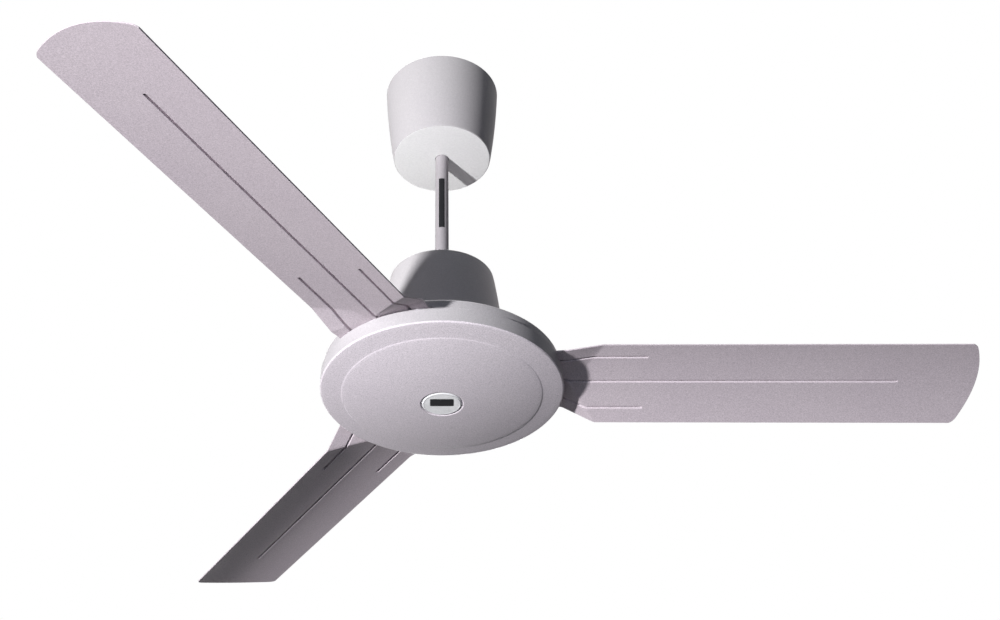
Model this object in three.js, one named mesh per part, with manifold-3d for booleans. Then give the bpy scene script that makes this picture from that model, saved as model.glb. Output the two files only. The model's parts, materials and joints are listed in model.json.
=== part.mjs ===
// A three-blade ceiling fan on a downrod. Millimetres, +Z up, origin at the ceiling.
import * as THREE from 'three';
import { mergeVertices } from 'three/addons/utils/BufferGeometryUtils.js';
import Module from 'manifold-3d';

const wasm = await Module();
wasm.setup();

// ---------- clearances ----------
const seatGap = 0.3;
const slideGap = 0.4;
const holeGap = 0.3;
const airGap = 0.4;

// ---------- heights of the whole fan ----------
const deckDrop = 474;
const canopyTopGap = 4;
const canopyHeight = 113;
const coverLift = 3.3;

// ---------- ceiling bracket and roller ----------
const plateLength = 116;
const plateWidth = 40;
const plateThickness = 3;
const plateRound = 6;
const ceilingHoleRadius = 3.3;
const ceilingHoleSpacing = 88;
const cableHoleRadius = 6;
const cableHoleInset = 12;
const earInside = 20;
const earThickness = 3;
const earWidth = 30;
const rollerDrop = 32;
const rollerBoltRadius = 4;
const rollerFlangeRadius = 12.5;
const rollerGrooveRadius = 9;
const rollerFlangeSlope = 1.5;
const rollerEndGap = 0.5;

// ---------- shackle ----------
const shackleThickness = 4;
const shackleWidth = 13;
const shackleSideGap = 0.5;
const shackleBoltDrop = 40;
const shackleBelowBolt = 12;
const shackleBoltRadius = 3;

// ---------- downrod and coupling ----------
const rodRadius = 8.25;
const rodBore = 6.25;
const rodAboveBolt = 12;
const couplingRadius = 14;
const couplingHeight = 56;
const couplingWeb = 1.5;
const shaftEngagement = 18;
const rodBoltAboveFoot = 19;
const shaftBoltFromBottom = 9;
const crossBoltRadius = 3;
const couplingRound = 3;
const couplingFootRound = 1;

// ---------- bolts, nuts and pins ----------
const nutThickness = 4.5;
const splitPinRadius = 0.8;
const splitPinHalfLength = 6;
const boltTail = 4.5;
const rollerBoltTail = 4;
const hexShare = 1.85;
const boltHeadShare = 1.3;
const screwHeadShare = 1.9;
const screwHeightShare = 1.1;

// ---------- motor ----------
const shaftRadius = 8.5;
const shaftBore = 6.25;
const shaftFootRise = 0.5;
const wireSlotHalf = 2;
const wireSlotTop = 5;
const wireSlotRise = 3.3;
const coreRadius = 58.5;
const coreHeight = 18;
const coreFoot = 8;
const slotCount = 12;
const slotHalf = 4.5;
const slotMouthHalf = 1.5;
const slotFloorRadius = 30;
const toothTip = 2.5;
const windingRise = 6.5;
const windingRound = 2;
const rotorRingWall = 6.6;
const rotorRingHeight = 24;
const housingWall = 4.2;
const housingFloor = 4;
const windingAirBelow = 4.2;
const windingAirAbove = 2.2;
const flangeMargin = 7;
const flangeThickness = 4;
const housingRound = 3;
const bossDepth = 3.5;
const bossWall = 4.5;
const bossLid = 2;
const bossLidHole = 11;
const bearingOuterRadius = 20;
const bearingWidth = 12;
const raceWall = 3;
const ballCount = 8;
const cageWall = 1.6;
const cageHalf = 1.2;
const upperBearingDip = 6.7;
const lowerBearingRise = 2.5;
const padOffset = 6;
const padRadius = 7;
const padHeight = 5;
const housingScrewRadius = 2;
const lockNutGap = 1;
const lockNutHeight = 7;
const lockNutRadius = 15;

// ---------- capacitor and wiring ----------
const bracketThickness = 2;
const bracketWidth = 26;
const bracketLength = 50;
const bracketBack = 14;
const bracketRound = 5;
const capacitorLength = 20;
const capacitorWidth = 34;
const capacitorHeight = 36;
const capacitorRound = 3;
const capacitorInset = 13;
const capacitorScrewRadius = 1.5;
const capacitorScrewDepth = 6;
const terminalLength = 22;
const terminalWidth = 12;
const terminalHeight = 26;
const terminalAboveBolt = 9;
const terminalHoleRadius = 2;
const terminalHoleDepth = 8;
const terminalHoleSpacing = 6.5;
const leadRadius = 1.2;
const leadOffset = 4.65;

// ---------- cups round the rod ----------
const cupWideRadius = 73.1;
const cupNarrowRadius = 61.6;
const cupBulge = 0.5;
const cupWall = 2;
const cupFloor = 2.5;
const cupEdgeRound = 1.5;
const gripWall = 5.5;
const gripHeight = 8;
const collarWall = 2.5;

// ---------- blades ----------
const bladeCount = 3;
const bladeTip = 600;
const bladeTipRadius = 124;
const bladeRootHalf = 56.7;
const bladeFlare = 1;
const bladePitch = 0.2422;
const bladeCamber = 4.7;
const bladeMidDrop = 2.2;
const bladeSheet = 1.2;
const bladeCornerRound = 6;
const tabGap = 8;
const tabInnerHalf = 49;
const tabPastRim = 2.7;
const foldLead = 4.1;
const foldSweep = 31.7;
const sideGrooveOffset = 37.1;
const sideGrooveRun = 54;
const middleGrooveInset = 87.8;
const grooveHalf = 2;
const grooveDepth = 1.2;
const grooveRunOut = 3;
const grooveLead = 16.7;
const bladeScrewRadius = 2.2;
const innerScrewOffset = 20;
const innerScrewSpread = 26;
const outerScrewInset = 11;

// ---------- bottom cover, badge and top shell ----------
const discRadius = 136;
const rimHeight = 18.4;
const rimRound = 2.5;
const coverWall = 1.5;
const domeInset = 24.5;
const domeEdgeDrop = 3.4;
const domeStep = 0.8;
const badgeRecess = 1.2;
const badgeRadius = 23;
const badgeStandOut = 1.4;
const badgeCrown = 0.5;
const badgeWall = 0.7;
const badgeRimRound = 1.2;
const centreScrewRadius = 2.5;
const centreScrewDepth = 3.8;
const centreScrewHead = 1.3;
const seatRingRadius = 17;
const seatRingWall = 3;
const seatRingHeight = 1.1;
const shellGap = 1;
const shellWall = 1.5;
const shoulderRise = 13.8;
const shellRound = 4;
const shellRingGap = 3.4;
const shellSlopeRise = 9.8;
const skirtOverlap = 6.4;
const pillarRadius = 5;
const pillarInset = 20.5;
const shellScrewRadius = 2;
const shellScrewDepth = 9;
const holeEndGap = 1;

// ---------- roundness ----------
const fineSides = 40;
const mediumSides = 28;
const smallSides = 16;
const screwSides = 8;
const leadSides = 8;
const leadSteps = 36;

// ---------- colours ----------
const finishes = {
  silverPaint: new THREE.MeshStandardMaterial({ color: 0xb9b1b6, roughness: 0.42, metalness: 0.55 }),
  steel: new THREE.MeshStandardMaterial({ color: 0x9a9ca0, roughness: 0.35, metalness: 1 }),
  castAluminium: new THREE.MeshStandardMaterial({ color: 0xa6a8ab, roughness: 0.55, metalness: 0.9 }),
  coreSteel: new THREE.MeshStandardMaterial({ color: 0x55585c, roughness: 0.6, metalness: 0.8 }),
  copper: new THREE.MeshStandardMaterial({ color: 0xa5552f, roughness: 0.4, metalness: 0.9 }),
  rubber: new THREE.MeshStandardMaterial({ color: 0x1d1d1f, roughness: 0.9, metalness: 0 }),
  blackPlastic: new THREE.MeshStandardMaterial({ color: 0x2a2b2e, roughness: 0.5, metalness: 0 }),
  whitePlastic: new THREE.MeshStandardMaterial({ color: 0xe2e0da, roughness: 0.5, metalness: 0 }),
  chrome: new THREE.MeshStandardMaterial({ color: 0xc8c8cc, roughness: 0.15, metalness: 1 }),
};

// ---------- worked-out places, measured up from the lower edge of the bottom disc ----------
const shellRadius = discRadius - coverWall - shellGap;
const shellInner = cupWideRadius + shellRingGap;
const shellShoulder = rimHeight + shoulderRise;
const shellTop = shellShoulder + shellSlopeRise;
const shellSkirtFoot = rimHeight - skirtOverlap;
const coverTopHeight = shellTop + coverLift + canopyHeight;
const pillarCircle = shellRadius - pillarInset;
const flangeRadius = pillarCircle + flangeMargin;
const domeRadius = discRadius - domeInset;
const tabHeight = rimHeight + slideGap;
const tabTop = tabHeight + bladeSheet;
const flangeTop = tabHeight - seatGap;
const flangeFoot = flangeTop - flangeThickness;
const rotorRingInside = coreRadius + airGap;
const rotorRingOutside = rotorRingInside + rotorRingWall;
const housingInside = rotorRingOutside + seatGap;
const housingOutside = housingInside + housingWall;
const housingTop = coreFoot + coreHeight + seatGap + windingRise + windingAirAbove + housingFloor;
const housingFoot = coreFoot - seatGap - windingRise - windingAirBelow - housingFloor;
const padCircle = housingOutside + padOffset;
const upperBearingFoot = housingTop - upperBearingDip;
const lowerBearingFoot = housingFoot + lowerBearingRise;
const shaftFoot = lowerBearingFoot + shaftFootRise;
const bossFoot = housingFoot - bossDepth;
const badgeSeatDrop = seatGap + seatRingHeight + coverWall - bossFoot;
const domeDrop = badgeSeatDrop + badgeRecess;
const badgeDrop = domeDrop + badgeStandOut;
const bossInside = bearingOuterRadius + seatGap;
const bossOutside = bossInside + bossWall;
const lowerBossFloor = lowerBearingFoot - seatGap;
const upperBossLidFoot = upperBearingFoot + bearingWidth + seatGap;
const upperBossTop = upperBossLidFoot + bossLid;
const coreTop = coreFoot + coreHeight;
const lockNutFoot = upperBossTop + lockNutGap;
const bracketFoot = lockNutFoot + lockNutHeight + seatGap;
const bracketTop = bracketFoot + bracketThickness;
const couplingFoot = bracketTop + seatGap;
const couplingTop = couplingFoot + couplingHeight;
const shaftTop = couplingFoot + shaftEngagement;
const webFoot = shaftTop + seatGap;
const rodFoot = webFoot + couplingWeb + seatGap;
const shaftBoltHeight = couplingFoot + shaftBoltFromBottom;
const rodBoltHeight = rodFoot + rodBoltAboveFoot;
const capacitorOffset = bracketLength - capacitorInset;

// ---------- worked-out places along a blade, measured from the fan's axis ----------
const tabInner = housingOutside + tabGap;
const innerScrewReach = housingOutside + innerScrewOffset;
const outerScrewReach = flangeRadius - outerScrewInset;
const tabOuter = discRadius + tabPastRim;
const foldMiddle = tabOuter + foldLead;
const foldEdge = foldMiddle + foldSweep;
const grooveStart = tabOuter - grooveLead;
const grooveInner = grooveStart + grooveRunOut;
const sideGrooveEnd = foldEdge + sideGrooveRun;
const middleGrooveEnd = bladeTip - middleGrooveInset;
const bladeMidHeight = tabHeight - bladeMidDrop;
const bladeTipHalf = bladeRootHalf + bladeFlare;

// ---------- worked-out places, measured from the ceiling ----------
const rollerHeight = -rollerDrop;
const shackleInside = rollerGrooveRadius + slideGap;
const shackleOutside = shackleInside + shackleThickness;
const shackleBoltHeight = rollerHeight - shackleBoltDrop;
const rodTop = shackleBoltHeight + rodAboveBolt;
const rodBottom = rodFoot - deckDrop;
const canopyBottom = -canopyTopGap - canopyHeight;
const rollerGrooveWidth = shackleWidth + 2 * shackleSideGap;
const terminalHeightMiddle = shackleBoltHeight + terminalAboveBolt + terminalHeight / 2;

// ---------- helpers: solids ----------
function toSolid(geometry) {
  const bare = geometry.clone();
  bare.deleteAttribute('normal');
  bare.deleteAttribute('uv');
  const merged = mergeVertices(bare, 1e-4);
  const corners = merged.index.array;
  const kept = [];
  for (let i = 0; i < corners.length; i += 3) {
    const [a, b, c] = [corners[i], corners[i + 1], corners[i + 2]];
    if (a !== b && b !== c && c !== a) kept.push(a, b, c);
  }
  const vertProperties = new Float32Array(merged.attributes.position.array);
  return new wasm.Manifold(new wasm.Mesh({ numProp: 3, vertProperties, triVerts: new Uint32Array(kept) }));
}

function toGeometry(solid) {
  const mesh = solid.getMesh();
  const geometry = new THREE.BufferGeometry();
  geometry.setAttribute('position', new THREE.Float32BufferAttribute(mesh.vertProperties, 3));
  geometry.setIndex(Array.from(mesh.triVerts));
  geometry.computeVertexNormals();
  return geometry;
}

function join(...pieces) {
  return toGeometry(pieces.map(toSolid).reduce((whole, piece) => whole.add(piece)));
}

function cut(body, ...tools) {
  return toGeometry(tools.map(toSolid).reduce((whole, tool) => whole.subtract(tool), toSolid(body)));
}

// ---------- helpers: shapes ----------
function turned(profile, sides) {
  const points = profile.map(([radius, height]) => new THREE.Vector2(radius, height));
  return new THREE.LatheGeometry(points, sides).rotateX(Math.PI / 2);
}

function ringTurned(profile, sides) {
  return turned([...profile, profile[0]], sides);
}

function tube(inside, outside, foot, top, sides) {
  return ringTurned([[inside, foot], [outside, foot], [outside, top], [inside, top]], sides);
}

function rod(radius, foot, top, sides) {
  return turned([[0, foot], [radius, foot], [radius, top], [0, top]], sides);
}

function block(low, high) {
  const size = high.map((value, axis) => value - low[axis]);
  const middle = high.map((value, axis) => (value + low[axis]) / 2);
  return new THREE.BoxGeometry(...size).translate(...middle);
}

function alongX(geometry) {
  return geometry.rotateY(Math.PI / 2);
}

function alongY(geometry) {
  return geometry.rotateX(-Math.PI / 2);
}

function sideways(geometry) {
  return geometry.rotateX(Math.PI / 2).rotateZ(Math.PI / 2);
}

function roundedRectangle(length, width, round) {
  const [x, y] = [length / 2, width / 2];
  const shape = new THREE.Shape();
  shape.moveTo(-x + round, -y);
  shape.lineTo(x - round, -y);
  shape.absarc(x - round, -y + round, round, -Math.PI / 2, 0, false);
  shape.absarc(x - round, y - round, round, 0, Math.PI / 2, false);
  shape.absarc(-x + round, y - round, round, Math.PI / 2, Math.PI, false);
  shape.absarc(-x + round, -y + round, round, Math.PI, Math.PI * 1.5, false);
  return shape;
}

function addHole(shape, x, y, radius, sides = smallSides) {
  const points = [];
  for (let corner = 0; corner < sides; corner += 1) {
    const angle = (corner * Math.PI * 2) / sides;
    points.push(new THREE.Vector2(x + radius * Math.cos(angle), y + radius * Math.sin(angle)));
  }
  shape.holes.push(new THREE.Path(points));
}

function extruded(shape, depth, curveSegments = 5) {
  return new THREE.ExtrudeGeometry(shape, { depth, curveSegments, bevelEnabled: false });
}

function hexNut(radius, bore, height, boreSides = screwSides) {
  const shape = new THREE.Shape();
  for (let corner = 0; corner < 6; corner += 1) {
    const angle = (corner * Math.PI) / 3;
    const move = corner === 0 ? 'moveTo' : 'lineTo';
    shape[move](radius * Math.cos(angle), radius * Math.sin(angle));
  }
  addHole(shape, 0, 0, bore, boreSides);
  return extruded(shape, height);
}

// A bolt along +Z: its head's underside is at 0 and its shank reaches down to -length.
function hexBolt(radius, length) {
  const headRadius = radius * hexShare;
  const headHeight = radius * boltHeadShare;
  const head = new THREE.CylinderGeometry(headRadius, headRadius, headHeight, 6).rotateX(Math.PI / 2);
  head.translate(0, 0, headHeight / 2);
  return join(head, rod(radius, -length, headHeight / 2, screwSides));
}

// A pan-head screw along +Z, laid out like the bolt.
function panScrew(radius, length, headHeight = radius * screwHeightShare) {
  const headRadius = radius * screwHeadShare;
  return turned([
    [0, -length],
    [radius, -length],
    [radius, 0],
    [headRadius, 0],
    [headRadius * 0.75, headHeight],
    [0, headHeight],
  ], screwSides);
}

function named(name, geometry, finish, place = [0, 0, 0]) {
  const mesh = new THREE.Mesh(geometry, finish);
  mesh.name = name;
  mesh.position.set(...place);
  return mesh;
}

// ---------- ceiling bracket, roller and shackle ----------
function ceilingBracket() {
  const plateShape = roundedRectangle(plateLength, plateWidth, plateRound);
  const holeOffset = ceilingHoleSpacing / 2;
  addHole(plateShape, holeOffset, 0, ceilingHoleRadius, screwSides);
  addHole(plateShape, -holeOffset, 0, ceilingHoleRadius, screwSides);
  addHole(plateShape, holeOffset - cableHoleInset, 0, cableHoleRadius);
  const plate = extruded(plateShape, plateThickness).translate(0, 0, -plateThickness);
  const earShape = new THREE.Shape();
  earShape.moveTo(-earWidth / 2, -plateThickness / 2);
  earShape.lineTo(-earWidth / 2, rollerHeight);
  earShape.absarc(0, rollerHeight, earWidth / 2, Math.PI, Math.PI * 2, false);
  earShape.lineTo(earWidth / 2, -plateThickness / 2);
  addHole(earShape, 0, rollerHeight, rollerBoltRadius + holeGap, screwSides);
  const right = sideways(extruded(earShape, earThickness, 8)).translate(earInside, 0, 0);
  const left = right.clone().translate(-2 * earInside - earThickness, 0, 0);
  return join(plate, right, left);
}

function roller() {
  const half = earInside - rollerEndGap;
  const bore = rollerBoltRadius + holeGap;
  const grooveHalf = rollerGrooveWidth / 2;
  return alongX(ringTurned([
    [bore, -half],
    [rollerFlangeRadius, -half],
    [rollerFlangeRadius, -grooveHalf - rollerFlangeSlope],
    [rollerGrooveRadius, -grooveHalf],
    [rollerGrooveRadius, grooveHalf],
    [rollerFlangeRadius, grooveHalf + rollerFlangeSlope],
    [rollerFlangeRadius, half],
    [bore, half],
  ], smallSides));
}

function shackle() {
  const legFoot = -shackleBoltDrop - shackleBelowBolt;
  const outline = new THREE.Shape();
  outline.moveTo(shackleOutside, legFoot);
  outline.lineTo(shackleOutside, 0);
  outline.absarc(0, 0, shackleOutside, 0, Math.PI, false);
  outline.lineTo(-shackleOutside, legFoot);
  outline.lineTo(-shackleInside, legFoot);
  outline.lineTo(-shackleInside, 0);
  outline.absarc(0, 0, shackleInside, Math.PI, 0, true);
  outline.lineTo(shackleInside, legFoot);
  const strap = sideways(extruded(outline, shackleWidth, 12)).translate(-shackleWidth / 2, 0, 0);
  const hole = crossHole(shackleBoltRadius, shackleOutside, -shackleBoltDrop);
  return cut(strap, hole);
}

function crossHole(boltRadius, reach, height) {
  const through = reach + holeEndGap;
  return alongY(rod(boltRadius + holeGap, -through, through, screwSides)).translate(0, 0, height);
}

// A bolt across the rod: head, nut and split pin lie outside the walls that it holds.
function crossBolt(radius, reach, withPin) {
  const nutEnd = reach + seatGap + nutThickness + seatGap;
  const length = reach + seatGap + nutEnd + boltTail;
  const bolt = alongY(hexBolt(radius, length));
  bolt.translate(0, reach + seatGap, 0);
  if (!withPin) return bolt;
  const pinHole = rod(splitPinRadius + holeGap, -radius * 2, radius * 2, 8);
  return cut(bolt, pinHole.translate(0, -nutEnd - boltTail / 2, 0));
}

function crossNut(radius, reach) {
  const nut = alongY(hexNut(radius * hexShare, radius + holeGap, nutThickness));
  return nut.translate(0, -reach - seatGap - nutThickness, 0);
}

function splitPin(reach) {
  const place = -reach - seatGap - nutThickness - seatGap - boltTail / 2;
  return rod(splitPinRadius, -splitPinHalfLength, splitPinHalfLength, 8).translate(0, place, 0);
}

function crossSet(name, radius, reach, height, withPin = true) {
  const pieces = [
    named(`${name}_bolt`, crossBolt(radius, reach, withPin), finishes.steel, [0, 0, height]),
    named(`${name}_nut`, crossNut(radius, reach), finishes.steel, [0, 0, height]),
  ];
  if (withPin) pieces.push(named(`${name}_split_pin`, splitPin(reach), finishes.steel, [0, 0, height]));
  return pieces;
}

function rollerBolt() {
  const length = 2 * (earInside + earThickness + seatGap) + nutThickness + rollerBoltTail;
  const bolt = alongX(hexBolt(rollerBoltRadius, length));
  return bolt.translate(earInside + earThickness + seatGap, 0, 0);
}

function rollerNut() {
  const nut = alongX(hexNut(rollerBoltRadius * hexShare, rollerBoltRadius + holeGap, nutThickness));
  return nut.translate(-earInside - earThickness - seatGap - nutThickness, 0, 0);
}

// ---------- downrod, coupling and shaft ----------
function downrod() {
  const pipe = tube(rodBore, rodRadius, rodBottom, rodTop, smallSides);
  const upper = crossHole(shackleBoltRadius, rodRadius, shackleBoltHeight);
  const lower = crossHole(crossBoltRadius, rodRadius, rodBoltHeight - deckDrop);
  return cut(pipe, upper, lower);
}

function rodCoupling() {
  const shaftBoreWide = shaftRadius + seatGap;
  const rodBoreWide = rodRadius + seatGap;
  const collar = ringTurned([
    [shaftBoreWide, couplingFoot],
    [couplingRadius - couplingFootRound, couplingFoot],
    [couplingRadius, couplingFoot + couplingFootRound],
    [couplingRadius, couplingTop - couplingRound],
    [couplingRadius - couplingRound, couplingTop],
    [rodBoreWide, couplingTop],
    [rodBoreWide, webFoot + couplingWeb],
    [rodBore, webFoot + couplingWeb],
    [rodBore, webFoot],
    [shaftBoreWide, webFoot],
  ], smallSides);
  const shaftHole = crossHole(crossBoltRadius, couplingRadius, shaftBoltHeight);
  return cut(collar, shaftHole, crossHole(crossBoltRadius, couplingRadius, rodBoltHeight));
}

function motorShaft() {
  const pipe = tube(shaftBore, shaftRadius, shaftFoot, shaftTop, smallSides);
  const wireHeight = coreTop + wireSlotRise;
  const slot = block(
    [shaftBore / 2, -wireSlotHalf, wireHeight - wireSlotHalf],
    [shaftRadius + holeEndGap, wireSlotHalf, wireHeight + wireSlotTop],
  );
  return cut(pipe, slot, crossHole(crossBoltRadius, shaftRadius, shaftBoltHeight));
}

// The lead leaves the terminal block, enters the rod beside the bolts and ends at the winding.
function motorLead() {
  const wireHeight = coreTop + wireSlotRise - deckDrop;
  const blockMiddle = shackleOutside + seatGap + terminalWidth / 2;
  const route = [
    [terminalLength / 2 + seatGap, blockMiddle, rodTop + 8],
    [terminalLength / 2 + 1.5, blockMiddle, rodTop + 8],
    [terminalLength / 2 + 3.2, blockMiddle - 3, rodTop + 8.5],
    [terminalLength / 2 + 2.5, blockMiddle / 2, rodTop + 9.5],
    [9, 2, rodTop + 8.5],
    [leadOffset + 0.6, 0, rodTop + 5],
    [leadOffset, 0, rodTop],
    [leadOffset, 0, rodTop - 8],
    [leadOffset, 0, (rodTop + wireHeight) / 2],
    [leadOffset, 0, wireHeight + 9],
    [leadOffset + 0.3, 0, wireHeight + 4],
    [leadOffset + 3.2, 0, wireHeight + 0.6],
    [leadOffset + 7, 0, wireHeight],
    [slotFloorRadius + 1 - seatGap - windingRound, 0, wireHeight],
  ].map((point) => new THREE.Vector3(...point));
  const path = new THREE.CatmullRomCurve3(route, false, 'centripetal');
  path.getUtoTmapping = (share) => share; // the steps follow the route's points, so bends get most of them
  const section = new THREE.Shape();
  section.absarc(0, 0, leadRadius, 0, Math.PI * 2, false);
  return new THREE.ExtrudeGeometry(section, { steps: leadSteps, curveSegments: leadSides / 2, extrudePath: path });
}

// ---------- motor: stator, rotor ring and bearings ----------
function statorCore() {
  const outline = new THREE.Shape();
  const pitch = (Math.PI * 2) / slotCount;
  const shoulder = coreRadius - toothTip;
  for (let slot = 0; slot < slotCount; slot += 1) {
    const middle = slot * pitch;
    const [cosine, sine] = [Math.cos(middle), Math.sin(middle)];
    const corners = [
      [Math.sqrt(coreRadius ** 2 - slotMouthHalf ** 2), -slotMouthHalf],
      [shoulder, -slotMouthHalf],
      [shoulder - 1, -slotHalf],
      [slotFloorRadius, -slotHalf],
      [slotFloorRadius, slotHalf],
      [shoulder - 1, slotHalf],
      [shoulder, slotMouthHalf],
      [Math.sqrt(coreRadius ** 2 - slotMouthHalf ** 2), slotMouthHalf],
    ];
    corners.forEach(([along, across], index) => {
      const move = slot === 0 && index === 0 ? 'moveTo' : 'lineTo';
      outline[move](along * cosine - across * sine, along * sine + across * cosine);
    });
    const tooth = middle + pitch / 2;
    outline.lineTo(coreRadius * Math.cos(tooth), coreRadius * Math.sin(tooth));
  }
  addHole(outline, 0, 0, shaftRadius + seatGap);
  return extruded(outline, coreHeight, 10).translate(0, 0, coreFoot);
}

function statorWinding() {
  const inner = slotFloorRadius + 1;
  const outer = coreRadius - toothTip - 1.5;
  const end = (foot, top) => ringTurned([
    [inner + windingRound, foot],
    [outer - windingRound, foot],
    [outer, foot + windingRound],
    [outer, top - windingRound],
    [outer - windingRound, top],
    [inner + windingRound, top],
    [inner, top - windingRound],
    [inner, foot + windingRound],
  ], smallSides + 2);
  const lower = end(coreFoot - seatGap - windingRise, coreFoot - seatGap);
  const upper = end(coreTop + seatGap, coreTop + seatGap + windingRise);
  const bars = [];
  const barHalf = slotHalf - slideGap;
  for (let slot = 0; slot < slotCount; slot += 1) {
    const bar = block(
      [inner + windingRound, -barHalf, coreFoot - windingRound],
      [outer - windingRound, barHalf, coreTop + windingRound],
    );
    bars.push(bar.rotateZ((slot * Math.PI * 2) / slotCount));
  }
  return join(lower, upper, ...bars);
}

function ballCage() {
  const innerRace = shaftRadius + seatGap + raceWall;
  const outerRace = bearingOuterRadius - raceWall;
  const middle = (innerRace + outerRace) / 2;
  const ballRadius = (outerRace - innerRace) / 2 - seatGap;
  const balls = [];
  for (let ball = 0; ball < ballCount; ball += 1) {
    const angle = (ball * Math.PI * 2) / ballCount;
    const shape = new THREE.IcosahedronGeometry(ballRadius, 0);
    balls.push(shape.translate(middle * Math.cos(angle), middle * Math.sin(angle), 0));
  }
  const ring = tube(middle - cageWall / 2, middle + cageWall / 2, -cageHalf, cageHalf, ballCount);
  return join(ring, ...balls);
}

function bearing(name, foot) {
  const innerFoot = shaftRadius + seatGap;
  const inner = tube(innerFoot, innerFoot + raceWall, foot, foot + bearingWidth, smallSides);
  const outer = tube(
    bearingOuterRadius - raceWall,
    bearingOuterRadius,
    foot,
    foot + bearingWidth,
    smallSides,
  );
  return {
    still: [named(`${name}_inner_race`, inner, finishes.steel)],
    turning: [
      named(`${name}_outer_race`, outer, finishes.steel),
      named(`${name}_ball_cage`, ballCage(), finishes.steel, [0, 0, foot + bearingWidth / 2]),
    ],
  };
}

function rotorRing() {
  const foot = coreFoot + coreHeight / 2 - rotorRingHeight / 2;
  return tube(rotorRingInside, rotorRingOutside, foot, foot + rotorRingHeight, mediumSides);
}

// ---------- motor housings ----------
function screwHole(radius, reach, turn, foot, top) {
  const hole = rod(radius + holeGap, foot, top, screwSides);
  return hole.translate(reach * Math.cos(turn), reach * Math.sin(turn), 0);
}

function bladeScrewPlaces() {
  return [[innerScrewReach, -innerScrewSpread], [innerScrewReach, innerScrewSpread], [outerScrewReach, 0]];
}

function lowerHousing() {
  const cup = turned([
    [0, bossFoot],
    [bossOutside, bossFoot],
    [bossOutside, housingFoot],
    [housingOutside - housingRound, housingFoot],
    [housingOutside, housingFoot + housingRound],
    [housingOutside, flangeFoot],
    [flangeRadius, flangeFoot],
    [flangeRadius, flangeTop],
    [housingInside, flangeTop],
    [housingInside, housingFoot + housingFloor],
    [bossOutside, housingFoot + housingFloor],
    [bossOutside, lowerBearingFoot + bearingWidth - 1],
    [bossInside, lowerBearingFoot + bearingWidth - 1],
    [bossInside, lowerBossFloor],
    [0, lowerBossFloor],
  ], mediumSides);
  const [low, high] = [flangeFoot - holeEndGap, flangeTop + holeEndGap];
  const centreHoleTop = bossFoot + centreScrewDepth + slideGap;
  const holes = [rod(centreScrewRadius + holeGap, bossFoot - holeEndGap, centreHoleTop, screwSides)];
  for (let blade = 0; blade < bladeCount; blade += 1) {
    const turn = (blade * Math.PI * 2) / bladeCount;
    const between = turn + Math.PI / bladeCount;
    holes.push(screwHole(housingScrewRadius, padCircle, between, low, high));
    holes.push(screwHole(shellScrewRadius, pillarCircle, between, low, high));
    for (const [along, across] of bladeScrewPlaces()) {
      const reach = Math.hypot(along, across);
      holes.push(screwHole(bladeScrewRadius, reach, turn + Math.atan2(across, along), low, high));
    }
  }
  return cut(cup, ...holes);
}

function upperHousing() {
  const cap = ringTurned([
    [housingInside, tabHeight],
    [housingOutside, tabHeight],
    [housingOutside, housingTop - housingRound],
    [housingOutside - housingRound, housingTop],
    [bossOutside, housingTop],
    [bossOutside, upperBossTop],
    [bossLidHole, upperBossTop],
    [bossLidHole, upperBossLidFoot],
    [bossInside, upperBossLidFoot],
    [bossInside, upperBearingFoot],
    [bossOutside, upperBearingFoot],
    [bossOutside, housingTop - housingFloor],
    [housingInside, housingTop - housingFloor],
  ], mediumSides);
  const padTop = tabHeight + padHeight;
  const [low, high] = [tabHeight - holeEndGap, padTop + holeEndGap];
  const pads = [];
  const holes = [];
  for (let blade = 0; blade < bladeCount; blade += 1) {
    const turn = ((blade * 2 + 1) * Math.PI) / bladeCount;
    const pad = block([housingInside + housingWall / 4, -padRadius, tabHeight], [padCircle, padRadius, padTop]);
    const round = rod(padRadius, tabHeight, padTop, smallSides).translate(padCircle, 0, 0);
    pads.push(pad.rotateZ(turn), round.rotateZ(turn));
    holes.push(screwHole(housingScrewRadius, padCircle, turn, low, high));
  }
  return cut(join(cap, ...pads), ...holes);
}

// ---------- bottom cover, badge and top shell ----------
function domeHeight(radius) {
  const edge = -domeEdgeDrop - domeStep;
  return -domeDrop + (edge + domeDrop) * (radius / domeRadius) ** 2;
}

function bottomCover() {
  const recessRadius = badgeRadius + seatGap;
  const screwBore = centreScrewRadius + holeGap;
  const seatTop = bossFoot - seatGap;
  const recessTop = -badgeSeatDrop + coverWall;
  const rings = [0.3, 0.5, 0.68, 0.85, 1].map((share) => share * domeRadius);
  const outerDome = rings.map((radius) => [radius, domeHeight(radius)]);
  const innerDome = rings.map((radius) => [radius, domeHeight(radius) + coverWall]).reverse();
  const rimFoot = discRadius - rimRound;
  return ringTurned([
    [screwBore, -badgeSeatDrop],
    [recessRadius, -badgeSeatDrop],
    [recessRadius, domeHeight(recessRadius)],
    ...outerDome,
    [domeRadius + 1, -domeEdgeDrop],
    [rimFoot, -rimRound / 4],
    [discRadius - rimRound / 4, rimRound / 3],
    [discRadius, rimRound],
    [discRadius, rimHeight],
    [discRadius - coverWall, rimHeight],
    [discRadius - coverWall, rimRound],
    [rimFoot - coverWall / 2, coverWall - rimRound / 4],
    [domeRadius + 1, -domeEdgeDrop + coverWall],
    ...innerDome,
    [recessRadius + coverWall, recessTop],
    [seatRingRadius, recessTop],
    [seatRingRadius, seatTop],
    [seatRingRadius - seatRingWall, seatTop],
    [seatRingRadius - seatRingWall, recessTop],
    [screwBore, recessTop],
  ], fineSides);
}

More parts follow.
